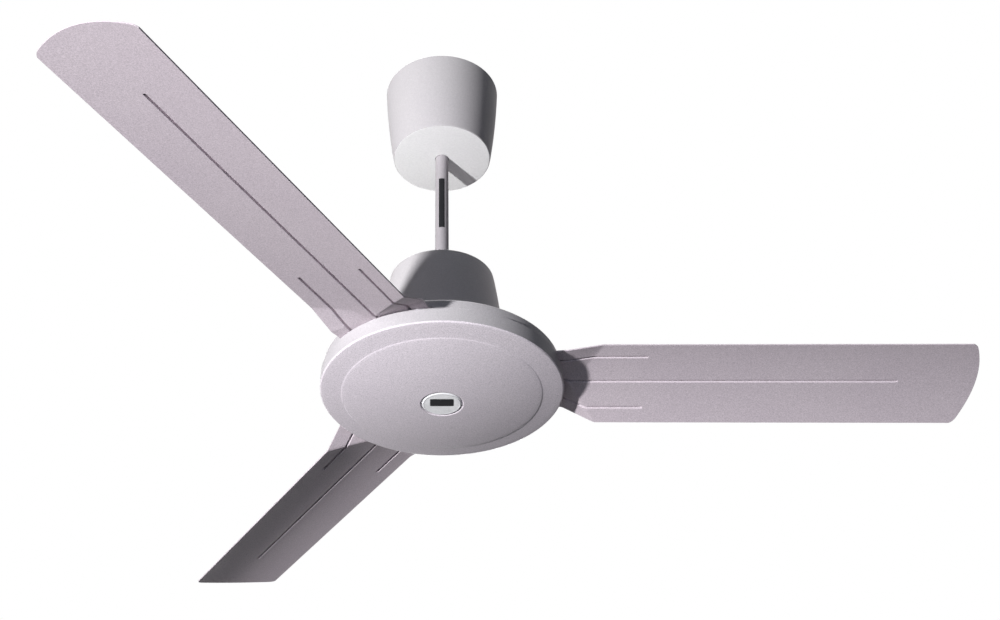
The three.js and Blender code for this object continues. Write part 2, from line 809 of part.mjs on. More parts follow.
function badge() {
  const top = -badgeSeatDrop - seatGap;
  const inside = badgeRadius - badgeWall - badgeRimRound;
  const edge = -badgeDrop + badgeRimRound;
  return turned([
    [0, -badgeDrop],
    [inside * 0.6, -badgeDrop + badgeCrown * 0.3],
    [inside, -badgeDrop + badgeCrown],
    [badgeRadius, edge],
    [badgeRadius, top],
    [badgeRadius - badgeWall, top],
    [badgeRadius - badgeWall, edge + badgeWall / 2],
    [inside, -badgeDrop + badgeCrown + badgeWall],
    [0, -badgeDrop + badgeWall],
  ], mediumSides);
}

function topShell() {
  const inside = shellRadius - shellWall;
  const underside = (radius) => shellTop - shellWall
    - ((radius - shellInner) / (shellRadius - shellRound - shellInner)) * (shellTop - shellShoulder);
  const body = ringTurned([
    [inside, shellSkirtFoot],
    [shellRadius, shellSkirtFoot],
    [shellRadius, shellShoulder - shellRound],
    [shellRadius - shellRound * 0.3, shellShoulder - shellRound * 0.35],
    [shellRadius - shellRound, shellShoulder],
    [shellInner, shellTop],
    [shellInner, shellTop - shellWall],
    [shellRadius - shellRound, shellShoulder - shellWall],
    [inside - shellRound * 0.3, shellShoulder - shellWall - shellRound * 0.35],
    [inside, shellShoulder - shellWall - shellRound * 0.7],
  ], fineSides);
  const notches = [];
  const pillars = [];
  const holes = [];
  for (let blade = 0; blade < bladeCount; blade += 1) {
    const turn = (blade * Math.PI * 2) / bladeCount;
    const between = turn + Math.PI / bladeCount;
    const side = bladeRootHalf + slideGap * 2;
    const notchTop = tabTop + grooveDepth + slideGap;
    const notch = block([tabInner, -side, shellSkirtFoot - holeEndGap], [tabOuter, side, notchTop]);
    notches.push(notch.rotateZ(turn));
    const pillarTop = underside(pillarCircle) + shellWall / 2;
    const pillar = rod(pillarRadius, tabHeight, pillarTop, smallSides).translate(pillarCircle, 0, 0);
    pillars.push(pillar.rotateZ(between));
    const top = tabHeight + shellScrewDepth;
    holes.push(screwHole(shellScrewRadius, pillarCircle, between, tabHeight - holeEndGap, top));
  }
  return cut(join(cut(body, ...notches), ...pillars), ...holes);
}

// ---------- blades ----------
const sideGrooveOuter = sideGrooveOffset + grooveHalf;
const bladeColumns = [0, grooveHalf, sideGrooveOffset / 3, (sideGrooveOffset * 2) / 3,
  sideGrooveOffset - grooveHalf, sideGrooveOffset, sideGrooveOuter,
  (sideGrooveOuter + bladeRootHalf) / 2, bladeRootHalf];

function tipAt(across) {
  const arcMiddle = bladeTip - bladeTipRadius;
  const arc = arcMiddle + Math.sqrt(bladeTipRadius ** 2 - across ** 2);
  const past = Math.max(0, Math.abs(across) - (bladeTipHalf - bladeCornerRound));
  return arc - bladeCornerRound + Math.sqrt(bladeCornerRound ** 2 - past ** 2);
}

function foldAt(across) {
  return foldMiddle + ((foldEdge - foldMiddle) * Math.abs(across)) / bladeRootHalf;
}

function bladeRows(across) {
  return [tabInner, grooveStart, grooveInner, tabOuter, foldAt(across), sideGrooveEnd - grooveRunOut,
    sideGrooveEnd, middleGrooveEnd - grooveRunOut, middleGrooveEnd, tipAt(across)];
}

function bladeHalfWidth(along) {
  if (along < tabOuter) {
    return THREE.MathUtils.mapLinear(along, tabInner, tabOuter, tabInnerHalf, bladeRootHalf);
  }
  return THREE.MathUtils.mapLinear(along, tabOuter, bladeTip, bladeRootHalf, bladeTipHalf);
}

function bladeHeight(along, across) {
  const share = across / bladeTipHalf;
  const pitched = bladeMidHeight - across * Math.tan(bladePitch) - bladeCamber * share ** 2;
  const blend = (along - tabOuter) / (foldAt(across) - tabOuter);
  return THREE.MathUtils.lerp(tabHeight, pitched, THREE.MathUtils.clamp(blend, 0, 1));
}

function grooveRise(along, column) {
  const end = column === 0 ? middleGrooveEnd : sideGrooveEnd;
  const inGroove = column === 0 || Math.abs(column) === sideGrooveOffset;
  const slack = 0.01;
  if (!inGroove || along < grooveInner - slack || along > end - grooveRunOut + slack) return 0;
  return grooveDepth;
}

// A flat box of rows and columns, bent into the pressed, folded and pitched sheet.
function blade() {
  const columns = [...bladeColumns.slice(1).reverse().map((value) => -value), ...bladeColumns];
  const [rowSteps, columnSteps] = [bladeRows(0).length - 1, columns.length - 1];
  const sheet = new THREE.BoxGeometry(1, 1, 1, rowSteps, columnSteps, 1);
  const places = sheet.attributes.position;
  for (let index = 0; index < places.count; index += 1) {
    const row = Math.round((places.getX(index) + 0.5) * rowSteps);
    const column = columns[Math.round((places.getY(index) + 0.5) * columnSteps)];
    const along = bladeRows(column)[row];
    const spread = (bladeHalfWidth(along) - sideGrooveOuter) / (bladeRootHalf - sideGrooveOuter);
    const past = Math.max(0, Math.abs(column) - sideGrooveOuter);
    const across = Math.sign(column) * (Math.abs(column) - past + past * spread);
    const isTop = places.getZ(index) > 0;
    const height = bladeHeight(along, across) + grooveRise(along, column) + (isTop ? bladeSheet : 0);
    places.setXYZ(index, along, across, height);
  }
  const [low, high] = [tabHeight - holeEndGap, tabTop + holeEndGap];
  const holes = bladeScrewPlaces().map(([along, across]) => (
    screwHole(bladeScrewRadius, Math.hypot(along, across), Math.atan2(across, along), low, high)
  ));
  return cut(sheet, ...holes);
}

// ---------- cups and their grip rings ----------
function cupRadius(share) {
  return cupNarrowRadius + (cupWideRadius - cupNarrowRadius) * (share + cupBulge * share * (1 - share));
}

// The cup's closed end lies at 0 and its open, wider end at the canopy's height.
function cup() {
  const shares = [0.2, 0.4, 0.6, 0.8, 1];
  const outerWall = shares.map((share) => [cupRadius(share), share * canopyHeight]);
  const innerWall = outerWall.map(([radius, height]) => [radius - cupWall, height]).reverse();
  const rodHole = rodRadius + slideGap;
  const collarInside = rodRadius + seatGap + gripWall + seatGap;
  const collarOutside = collarInside + collarWall;
  return ringTurned([
    [rodHole, 0],
    [cupNarrowRadius - cupEdgeRound, 0],
    [cupNarrowRadius, cupEdgeRound],
    ...outerWall,
    ...innerWall,
    [cupNarrowRadius - cupWall, cupFloor],
    [collarOutside, cupFloor],
    [collarOutside, cupFloor + gripHeight],
    [collarInside, cupFloor + gripHeight],
    [collarInside, cupFloor],
    [rodHole, cupFloor],
  ], mediumSides);
}

function gripRing() {
  const inside = rodRadius + seatGap;
  const foot = cupFloor + seatGap;
  return tube(inside, inside + gripWall, foot, foot + gripHeight, smallSides);
}

// ---------- capacitor and terminal block ----------
function capacitorBracket() {
  const plate = roundedRectangle(bracketLength + bracketBack, bracketWidth, bracketRound);
  const middle = (bracketLength - bracketBack) / 2;
  addHole(plate, -middle, 0, shaftRadius + seatGap);
  addHole(plate, capacitorOffset - middle, 0, capacitorScrewRadius + holeGap, screwSides);
  return extruded(plate, bracketThickness).translate(middle, 0, bracketFoot);
}

function capacitor() {
  const can = extruded(roundedRectangle(capacitorLength, capacitorWidth, capacitorRound), capacitorHeight, 3);
  const holeRadius = capacitorScrewRadius + holeGap;
  const hole = rod(holeRadius, -holeEndGap, capacitorScrewDepth + holeEndGap, screwSides);
  return cut(can, hole);
}

function terminalBlock() {
  const [x, y] = [terminalLength / 2, terminalWidth];
  const foot = -terminalHeight / 2;
  const body = block([-x, 0, foot], [x, y, -foot]);
  const holes = [-1, 0, 1].map((place) => (
    rod(terminalHoleRadius, foot - holeEndGap, foot + terminalHoleDepth, screwSides)
      .translate(place * terminalHoleSpacing, y / 2, 0)
  ));
  return cut(body, ...holes);
}

// ---------- the whole fan ----------
const fan = new THREE.Group();
const deck = new THREE.Group();
deck.position.z = -deckDrop;
fan.add(deck);

fan.add(named('ceiling_bracket', ceilingBracket(), finishes.steel));
fan.add(named('roller_bolt', rollerBolt(), finishes.steel, [0, 0, rollerHeight]));
fan.add(named('roller_nut', rollerNut(), finishes.steel, [0, 0, rollerHeight]));
fan.add(named('rubber_roller', roller(), finishes.rubber, [0, 0, rollerHeight]));
fan.add(named('shackle', shackle(), finishes.steel, [0, 0, rollerHeight]));
fan.add(...crossSet('shackle', shackleBoltRadius, shackleOutside, shackleBoltHeight));
fan.add(named('downrod', downrod(), finishes.silverPaint));
fan.add(named('motor_lead', motorLead(), finishes.whitePlastic));
const terminalPlace = [0, shackleOutside + seatGap, terminalHeightMiddle];
fan.add(named('terminal_block', terminalBlock(), finishes.whitePlastic, terminalPlace));
fan.add(named('canopy', cup(), finishes.silverPaint, [0, 0, canopyBottom]));
fan.add(named('canopy_grip_ring', gripRing(), finishes.rubber, [0, 0, canopyBottom]));

deck.add(named('rod_coupling', rodCoupling(), finishes.steel));
deck.add(...crossSet('coupling', crossBoltRadius, couplingRadius, rodBoltHeight));
deck.add(...crossSet('shaft', crossBoltRadius, couplingRadius, shaftBoltHeight, false));
const lockNut = hexNut(lockNutRadius, shaftRadius + seatGap, lockNutHeight, smallSides);
deck.add(named('lock_nut', lockNut, finishes.steel, [0, 0, lockNutFoot]));
deck.add(named('motor_shaft', motorShaft(), finishes.steel));
deck.add(named('stator_core', statorCore(), finishes.coreSteel));
deck.add(named('stator_winding', statorWinding(), finishes.copper));
for (const part of [bearing('upper_bearing', upperBearingFoot), bearing('lower_bearing', lowerBearingFoot)]) {
  deck.add(...part.still, ...part.turning);
}
deck.add(named('capacitor_bracket', capacitorBracket(), finishes.steel));
deck.add(named('capacitor', capacitor(), finishes.blackPlastic, [capacitorOffset, 0, bracketTop + seatGap]));
const capacitorScrew = panScrew(capacitorScrewRadius, bracketThickness + capacitorScrewDepth).rotateX(Math.PI);
deck.add(named('capacitor_screw', capacitorScrew, finishes.steel, [capacitorOffset, 0, bracketFoot - seatGap]));

const lowerCover = new THREE.Group();
lowerCover.position.z = coverTopHeight;
lowerCover.rotation.x = Math.PI;
lowerCover.add(named('lower_cover', cup(), finishes.silverPaint));
lowerCover.add(named('lower_cover_grip_ring', gripRing(), finishes.rubber));
deck.add(lowerCover);

deck.add(named('rotor_ring', rotorRing(), finishes.coreSteel));
deck.add(named('motor_housing_lower', lowerHousing(), finishes.castAluminium));
deck.add(named('motor_housing_upper', upperHousing(), finishes.castAluminium));
deck.add(named('top_shell', topShell(), finishes.silverPaint));
deck.add(named('bottom_cover', bottomCover(), finishes.silverPaint));
deck.add(named('badge', badge(), finishes.chrome));
const centreScrewLength = bossFoot + centreScrewDepth + badgeSeatDrop + seatGap;
const centreScrew = panScrew(centreScrewRadius, centreScrewLength, centreScrewHead).rotateX(Math.PI);
deck.add(named('centre_screw', centreScrew, finishes.steel, [0, 0, -badgeSeatDrop - seatGap]));

for (let index = 0; index < bladeCount; index += 1) {
  const wing = new THREE.Group();
  wing.rotation.z = (index * Math.PI * 2) / bladeCount;
  wing.add(named(`blade_${index + 1}`, blade(), finishes.silverPaint));
  bladeScrewPlaces().forEach(([along, across], place) => {
    const screw = panScrew(bladeScrewRadius, tabTop + seatGap - flangeFoot);
    const name = `blade_${index + 1}_screw_${place + 1}`;
    wing.add(named(name, screw, finishes.steel, [along, across, tabTop + seatGap]));
  });
  deck.add(wing);

  const corner = new THREE.Group();
  corner.rotation.z = ((index * 2 + 1) * Math.PI) / bladeCount;
  const padTop = tabHeight + padHeight + seatGap;
  const housingScrew = panScrew(housingScrewRadius, padTop - flangeFoot);
  corner.add(named(`housing_screw_${index + 1}`, housingScrew, finishes.steel, [padCircle, 0, padTop]));
  const shellScrewLength = tabHeight + shellScrewDepth - holeEndGap - flangeFoot;
  const shellScrew = panScrew(shellScrewRadius, shellScrewLength).rotateX(Math.PI);
  corner.add(named(`shell_screw_${index + 1}`, shellScrew, finishes.steel,
    [pillarCircle, 0, flangeFoot - seatGap]));
  deck.add(corner);
}

export default fan;
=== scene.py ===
import json
from math import cos, sin, tan, pi, sqrt, radians, hypot
import bpy
from mathutils import Matrix, Vector


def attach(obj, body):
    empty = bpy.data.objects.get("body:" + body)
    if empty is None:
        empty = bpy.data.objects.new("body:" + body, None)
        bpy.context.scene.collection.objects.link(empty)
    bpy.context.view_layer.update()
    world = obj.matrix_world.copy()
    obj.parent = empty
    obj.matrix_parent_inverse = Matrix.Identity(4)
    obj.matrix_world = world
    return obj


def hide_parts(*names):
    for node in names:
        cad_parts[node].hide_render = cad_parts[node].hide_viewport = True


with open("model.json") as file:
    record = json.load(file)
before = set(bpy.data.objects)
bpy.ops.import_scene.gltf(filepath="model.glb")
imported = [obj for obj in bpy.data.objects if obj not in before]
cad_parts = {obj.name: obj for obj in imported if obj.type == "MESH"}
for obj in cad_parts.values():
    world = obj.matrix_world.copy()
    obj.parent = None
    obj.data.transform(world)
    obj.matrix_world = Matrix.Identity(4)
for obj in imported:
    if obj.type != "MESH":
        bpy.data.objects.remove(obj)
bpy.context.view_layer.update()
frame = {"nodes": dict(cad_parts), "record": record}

mm = 0.001
weldGap = 2e-6        # metres: points nearer than this are merged
over = 1.0            # mm that a cutter runs past the face it cuts
flatFace = 0.9        # a face counts as flat where its normal stands this upright
steepFace = 0.3       # and as steep where its normal stands less upright than this


# small tools for modelling

def clearSelection():
    if bpy.context.object and bpy.context.object.mode != "OBJECT":
        bpy.ops.object.mode_set(mode="OBJECT")
    bpy.ops.object.select_all(action="DESELECT")


def pick(piece):
    clearSelection()
    piece.select_set(True)
    bpy.context.view_layer.objects.active = piece


def started(name):
    # the primitive just added becomes the piece of that name
    piece = bpy.context.object
    piece.name = name
    piece.data.name = name
    return piece


def settle(piece):
    # the place goes into the mesh, so the object stays at the origin
    pick(piece)
    bpy.ops.object.transform_apply(location=True, rotation=True, scale=True)
    return piece


def smooth(piece, degrees=32):
    pick(piece)
    bpy.ops.object.shade_smooth_by_angle(angle=radians(degrees))
    return piece


def applied(piece, kind, **settings):
    pick(piece)
    modifier = piece.modifiers.new(kind.title(), kind)
    for key, value in settings.items():
        setattr(modifier, key, value)
    bpy.ops.object.modifier_apply(modifier=modifier.name)
    return piece


def spun(name, profile, steps=96, closed=True, height=0.0):
    # one vertex is extruded along the profile (radius, height in mm) and spun round the fan's axis
    clearSelection()
    bpy.ops.mesh.primitive_plane_add(size=0.01)
    piece = started(name)
    bpy.ops.object.mode_set(mode="EDIT")
    bpy.ops.mesh.select_all(action="SELECT")
    bpy.ops.mesh.merge(type="CENTER")
    at = (profile[0][0] * mm, profile[0][1] * mm + height)
    bpy.ops.transform.translate(value=(at[0], 0, at[1]))
    for radius, rise in profile[1:]:
        step = (radius * mm - at[0], 0, rise * mm + height - at[1])
        bpy.ops.mesh.extrude_region_move(TRANSFORM_OT_translate={"value": step})
        at = (radius * mm, rise * mm + height)
    if closed:
        bpy.ops.mesh.select_all(action="DESELECT")
        bpy.ops.object.mode_set(mode="OBJECT")
        piece.data.vertices[0].select = True
        piece.data.vertices[len(profile) - 1].select = True
        bpy.ops.object.mode_set(mode="EDIT")
        bpy.ops.mesh.select_mode(type="VERT")
        bpy.ops.mesh.edge_face_add()
    bpy.ops.mesh.select_all(action="SELECT")
    bpy.ops.mesh.spin(steps=steps, angle=2 * pi, center=(0, 0, 0), axis=(0, 0, 1))
    bpy.ops.mesh.select_all(action="SELECT")
    bpy.ops.mesh.remove_doubles(threshold=weldGap)
    bpy.ops.mesh.normals_make_consistent(inside=False)
    bpy.ops.object.mode_set(mode="OBJECT")
    return piece


def copied(piece, name, matrix):
    # a copy with its own mesh, turned or moved inside that mesh
    twin = piece.copy()
    twin.data = piece.data.copy()
    twin.name = name
    twin.data.name = name
    bpy.context.collection.objects.link(twin)
    twin.data.transform(matrix)
    return twin


def turned(degrees):
    return Matrix.Rotation(radians(degrees), 4, "Z")


def cutAway(piece, *tools):
    for tool in tools:
        applied(piece, "BOOLEAN", operation="DIFFERENCE", solver="EXACT", object=tool)
        bpy.data.objects.remove(tool)
    return piece


def joined(piece, *others):
    pick(piece)
    for other in others:
        other.select_set(True)
    bpy.ops.object.join()
    return piece


def boxAt(low, high, name="tool"):
    clearSelection()
    middle = [(a + b) / 2 * mm for a, b in zip(low, high)]
    bpy.ops.mesh.primitive_cube_add(size=1, location=middle)
    piece = started(name)
    piece.scale = [(b - a) * mm for a, b in zip(low, high)]
    return settle(piece)


def barAt(radius, start, length, axis="Z", sides=32, name="tool"):
    clearSelection()
    rotation = {"X": (0, pi / 2, 0), "Y": (-pi / 2, 0, 0), "Z": (0, 0, 0)}[axis]
    along = {"X": Vector((1, 0, 0)), "Y": Vector((0, 1, 0)), "Z": Vector((0, 0, 1))}[axis]
    middle = Vector(start) * mm + along * (length * mm / 2)
    bpy.ops.mesh.primitive_cylinder_add(
        vertices=sides, radius=radius * mm, depth=length * mm, location=middle, rotation=rotation)
    return settle(started(name))


def drill(radius, middle, reach, axis="Z", sides=32):
    # a round cutter that reaches equally far to both sides of its middle
    start = list(middle)
    start["XYZ".index(axis)] -= reach
    return barAt(radius, start, 2 * reach, axis, sides)


def arc(middle, radius, first, last, steps):
    # points of a round in a profile, from one angle to another in degrees
    points = []
    for step in range(steps + 1):
        angle = radians(first + (last - first) * step / steps)
        points.append((middle[0] + radius * cos(angle), middle[1] + radius * sin(angle)))
    return points


# materials

def newMaterial(name):
    material = bpy.data.materials.new(name)
    material.use_nodes = True
    nodes = material.node_tree.nodes
    nodes.clear()
    output = nodes.new("ShaderNodeOutputMaterial")
    shader = nodes.new("ShaderNodeBsdfPrincipled")
    material.node_tree.links.new(shader.outputs["BSDF"], output.inputs["Surface"])
    return material, nodes, material.node_tree.links, shader


def patternSpace(nodes, links, stretch=(1, 1, 1)):
    place = nodes.new("ShaderNodeTexCoord")
    mapping = nodes.new("ShaderNodeMapping")
    mapping.inputs["Scale"].default_value = stretch
    links.new(place.outputs["Object"], mapping.inputs["Vector"])
    return mapping.outputs["Vector"]


def noise(nodes, links, space, scale, detail=2.0, roughness=0.5):
    texture = nodes.new("ShaderNodeTexNoise")
    texture.inputs["Scale"].default_value = scale
    texture.inputs["Detail"].default_value = detail
    texture.inputs["Roughness"].default_value = roughness
    links.new(space, texture.inputs["Vector"])
    return texture.outputs["Fac"]


def ramp(nodes, links, source, low, high, start=0.3, end=0.7):
    node = nodes.new("ShaderNodeValToRGB")
    node.color_ramp.elements[0].position = start
    node.color_ramp.elements[0].color = (*low, 1)
    node.color_ramp.elements[1].position = end
    node.color_ramp.elements[1].color = (*high, 1)
    links.new(source, node.inputs["Fac"])
    return node.outputs["Color"]


def roughen(nodes, links, shader, source, middle, below, above):
    # a gloss that varies a little with the pattern
    node = nodes.new("ShaderNodeMapRange")
    node.inputs["From Min"].default_value = 0.3
    node.inputs["From Max"].default_value = 0.7
    node.inputs["To Min"].default_value = middle - below
    node.inputs["To Max"].default_value = middle + above
    links.new(source, node.inputs["Value"])
    links.new(node.outputs["Result"], shader.inputs["Roughness"])


def blended(nodes, links, first, second, share, kind="MULTIPLY"):
    node = nodes.new("ShaderNodeMix")
    node.data_type = "RGBA"
    node.blend_type = kind
    node.inputs["Factor"].default_value = share
    links.new(first, node.inputs["A"])
    links.new(second, node.inputs["B"])
    return node.outputs["Result"]


def addBump(nodes, links, shader, height, strength, distance):
    bump = nodes.new("ShaderNodeBump")
    bump.inputs["Strength"].default_value = strength
    bump.inputs["Distance"].default_value = distance
    links.new(height, bump.inputs["Height"])
    links.new(bump.outputs["Normal"], shader.inputs["Normal"])


def shade(colour, factor):
    return tuple(min(1.0, part * factor) for part in colour)


white = (1, 1, 1)
patternSizes = {
    # the scales of the slow patterns, per metre
    "paintDrift": 9.0, "metalCloud": 45, "mouldedFlow": 38, "turnCloud": 120, "turnScuff": 300,
    # how much larger the paint's clusters are than its flakes
    "clusterSize": 2.3, "clusterBump": 0.12,
    # the depth of the bumps in metres
    "paintDepth": 0.0002, "metalDepth": 0.0003, "mouldedDepth": 0.0002,
}


def flakePaint(name, colour, metallic, roughness, flake=0.17, grain=900, mottle=0.05, ior=1.3):
    # silver paint: fine bright and dark flakes, a slow drift of tone and a slight orange peel
    material, nodes, links, shader = newMaterial(name)
    space = patternSpace(nodes, links)
    fine = noise(nodes, links, space, grain, detail=1.0, roughness=0.6)
    coarse = noise(nodes, links, space, grain / patternSizes["clusterSize"], roughness=0.6)
    drift = noise(nodes, links, space, patternSizes["paintDrift"], detail=3.0)
    dark, bright = shade(colour, 1 - flake), shade(colour, 1 + flake)
    flakes = ramp(nodes, links, fine, dark, bright, start=0.32, end=0.68)
    clusters = ramp(nodes, links, coarse, (1 - mottle,) * 3, white, start=0.35, end=0.65)
    tone = ramp(nodes, links, drift, (0.97, 0.965, 0.975), white, start=0.35, end=0.65)
    clustered = blended(nodes, links, flakes, clusters, share=1.0)
    links.new(blended(nodes, links, clustered, tone, share=1.0), shader.inputs["Base Color"])
    roughen(nodes, links, shader, fine, roughness, below=0.05, above=0.07)
    shader.inputs["Metallic"].default_value = metallic
    shader.inputs["IOR"].default_value = ior
    addBump(nodes, links, shader, coarse, patternSizes["clusterBump"], patternSizes["paintDepth"])
    return material


def plainMetal(name, colour, roughness, cloud=0.12, grain=260, stretch=(1, 1, 1), bump=0.05):
    # plated, ground or cast metal: cloudy tone, streaks along the stretch and an uneven gloss
    material, nodes, links, shader = newMaterial(name)
    space = patternSpace(nodes, links, stretch)
    clouds = noise(nodes, links, patternSpace(nodes, links), patternSizes["metalCloud"],
                   detail=4.0, roughness=0.6)
    streaks = noise(nodes, links, space, grain, detail=3.0, roughness=0.6)
    tone = ramp(nodes, links, clouds, shade(colour, 1 - cloud), shade(colour, 1 + cloud))
    scratches = ramp(nodes, links, streaks, (0.86, 0.86, 0.87), white, start=0.35, end=0.62)
    links.new(blended(nodes, links, tone, scratches, share=0.8), shader.inputs["Base Color"])
    roughen(nodes, links, shader, streaks, roughness, below=0.07, above=0.1)
    shader.inputs["Metallic"].default_value = 1.0
    addBump(nodes, links, shader, streaks, bump, patternSizes["metalDepth"])
    return material


def moulded(name, colour, roughness, grain=1400, bump=0.12, cloud=0.05, ior=1.4):
    # moulded plastic or rubber: eroded grain, faint flow marks, dust-dulled gloss
    material, nodes, links, shader = newMaterial(name)
    space = patternSpace(nodes, links)
    pores = noise(nodes, links, space, grain, roughness=0.55)
    flow = noise(nodes, links, space, patternSizes["mouldedFlow"], detail=3.0)
    tone = ramp(nodes, links, flow, shade(colour, 1 - cloud), shade(colour, 1 + cloud))
    pits = ramp(nodes, links, pores, (0.88, 0.88, 0.88), white, end=0.6)
    links.new(blended(nodes, links, tone, pits, share=0.7), shader.inputs["Base Color"])
    roughen(nodes, links, shader, flow, roughness, below=0.06, above=0.06)
    shader.inputs["IOR"].default_value = ior
    addBump(nodes, links, shader, pores, bump, patternSizes["mouldedDepth"])
    return material


def ringed(name, colour, roughness, pitch, metallic=1.0, along="Z", dark=0.55, bump=0.35):
    # stacked sheets along Z, or wound turns and turned grooves along the radius
    material, nodes, links, shader = newMaterial(name)
    space = patternSpace(nodes, links)
    split = nodes.new("ShaderNodeSeparateXYZ")
    links.new(space, split.inputs["Vector"])
    if along == "Z":
        line = split.outputs["Z"]
    else:
        flat = nodes.new("ShaderNodeVectorMath")
        flat.operation = "MULTIPLY"
        flat.inputs[1].default_value = (1, 1, 0)
        links.new(space, flat.inputs[0])
        length = nodes.new("ShaderNodeVectorMath")
        length.operation = "LENGTH"
        links.new(flat.outputs["Vector"], length.inputs[0])
        line = length.outputs["Value"]
    turns = nodes.new("ShaderNodeMath")
    turns.operation = "MULTIPLY"
    turns.inputs[1].default_value = 2 * pi / pitch
    links.new(line, turns.inputs[0])
    wave = nodes.new("ShaderNodeMath")
    wave.operation = "SINE"
    links.new(turns.outputs["Value"], wave.inputs[0])
    lift = nodes.new("ShaderNodeMapRange")
    lift.inputs["From Min"].default_value = -1.0
    links.new(wave.outputs["Value"], lift.inputs["Value"])
    stripes = ramp(nodes, links, lift.outputs["Result"], shade(colour, dark), colour,
                   start=0.0, end=0.6)
    cloudy = noise(nodes, links, space, patternSizes["turnCloud"], detail=3.0)
    clouds = ramp(nodes, links, cloudy, (0.85, 0.85, 0.85), white)
    links.new(blended(nodes, links, stripes, clouds, share=1.0), shader.inputs["Base Color"])
    scuffs = noise(nodes, links, space, patternSizes["turnScuff"])
    roughen(nodes, links, shader, scuffs, roughness, below=0.06, above=0.08)
    shader.inputs["Metallic"].default_value = metallic
    addBump(nodes, links, shader, lift.outputs["Result"], bump, pitch / 4)
    return material


finishes = {
    "bladePaint": flakePaint("bladePaint", (0.56, 0.49, 0.53), 0.0, 0.5),
    # the cover's face, painted paler than its rim: painted light where the lamp only grazes it
    "discPaintedLight": flakePaint("discPaintedLight", (0.71, 0.645, 0.69), 0.0, 0.45, ior=1.4),
    # a darker copy of the same paint for the cover's rim and the shell: painted shade
    "rimPaintedShade": flakePaint("rimPaintedShade", (0.46, 0.435, 0.45), 0.0, 0.5, flake=0.08, ior=1.2),
    "cupPaint": flakePaint("cupPaint", (0.49, 0.465, 0.475), 0.0, 0.5, flake=0.05, ior=1.2),
    "rodPaint": flakePaint("rodPaint", (0.36, 0.335, 0.35), 0.0, 0.45, flake=0.05, ior=1.2),
    # a paler copy of the cup paint for the cups' closed ends: painted light
    "cupFloorPaintedLight": flakePaint("cupFloorPaintedLight", (0.88, 0.87, 0.86), 0.0, 0.5, flake=0.03),
    "badgeMetal": ringed("badgeMetal", (0.74, 0.74, 0.75), 0.34, 0.00035, along="R", dark=0.85,
                         bump=0.1),
    "rimMetal": flakePaint("rimMetal", (0.86, 0.85, 0.86), 0.0, 0.4, flake=0.04, ior=1.15),
    "panelBlack": moulded("panelBlack", (0.018, 0.018, 0.02), 0.5, ior=1.15),
    "rubber": moulded("rubber", (0.028, 0.028, 0.03), 0.72, 900, 0.3, 0.15),
    "castAluminium": plainMetal("castAluminium", (0.50, 0.50, 0.51), 0.5, 0.1, 700, bump=0.25),
    "coreSteel": ringed("coreSteel", (0.20, 0.205, 0.215), 0.45, 0.0006),
    "winding": ringed("winding", (0.50, 0.19, 0.07), 0.38, 0.0009, along="R"),
    "groundSteel": plainMetal("groundSteel", (0.55, 0.55, 0.56), 0.3, 0.06, 500, (1, 1, 0.05)),
    "zincSteel": plainMetal("zincSteel", (0.47, 0.48, 0.50), 0.36, 0.14, 240, (1, 0.15, 1)),
    "blackPlastic": moulded("blackPlastic", (0.025, 0.025, 0.028), 0.42),
    "whitePlastic": moulded("whitePlastic", (0.72, 0.70, 0.65), 0.45, bump=0.06),
}

slotFinish = {
    "blade_paint": "bladePaint", "disc_paint": "discPaintedLight", "cup_paint": "cupPaint",
    "rod_paint": "rodPaint", "badge_metal": "badgeMetal", "rubber": "rubber",
    "cast_housing": "castAluminium", "core_steel": "coreSteel", "winding": "winding",
    "bright_steel": "groundSteel", "zinc_steel": "zincSteel", "black_plastic": "blackPlastic",
    "white_plastic": "whitePlastic",
}


def finishWith(piece, body, slot, *nodes, finish=None):
    # a piece without a finish of its own wears its slot's
    piece.data.materials.clear()
    piece.data.materials.append(finishes[finish or slotFinish[slot]])
    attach(piece, body)
    if nodes:
        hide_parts(*nodes)
    print("made", piece.name, len(piece.data.polygons), "faces")
    return piece


deckHeight = -474.0        # the disc's lower edge, in mm below the ceiling
deck = deckHeight * mm


# the two cups round the rod: sizes are in mm unless another unit is named

cup = {
    "height": 113.0, "narrow": 61.6, "wide": 73.1, "bulge": 0.5, "wall": 2.0, "floor": 2.5,
    "edgeRound": 1.5, "lipRound": 0.25, "floorFillet": ((0.6, 0.4), (2.0, 0.0)), "wallSteps": 14,
    "endReach": 0.2, "rodHole": 8.65, "holeBevel": 0.3, "collarInside": 14.35,
    "collarOutside": 16.85, "collarHeight": 8.0, "canopyFoot": -117.0,
    "coverTop": deckHeight + 158.3,
}


def cupRadius(share):
    bulged = share + cup["bulge"] * share * (1 - share)
    return cup["narrow"] + (cup["wide"] - cup["narrow"]) * bulged


def cupProfile():
    height, wall, floor = cup["height"], cup["wall"], cup["floor"]
    edge, lip, steps = cup["edgeRound"], cup["lipRound"], cup["wallSteps"]
    hole, bevel = cup["rodHole"], cup["holeBevel"]
    outer = [(cupRadius(step / steps), height * step / steps) for step in range(1, steps + 1)]
    rim = [(outer[-1][0] - lip, height), (outer[-1][0] - wall + lip, height)]
    outer[-1] = (outer[-1][0], height - lip)
    inner = [(radius - wall, rise) for radius, rise in reversed(outer)]
    fillet = [(cup["narrow"] - wall - back, floor + rise) for back, rise in cup["floorFillet"]]
    collarTop = floor + cup["collarHeight"]
    return (
        [(hole, bevel), (hole + bevel, 0.0)]
        + arc((cup["narrow"] - edge, edge), edge, -90, 0, 5)
        + outer + rim + inner + fillet
        + [(cup["collarOutside"], floor), (cup["collarOutside"], collarTop),
           (cup["collarInside"], collarTop), (cup["collarInside"], floor), (hole, floor)])


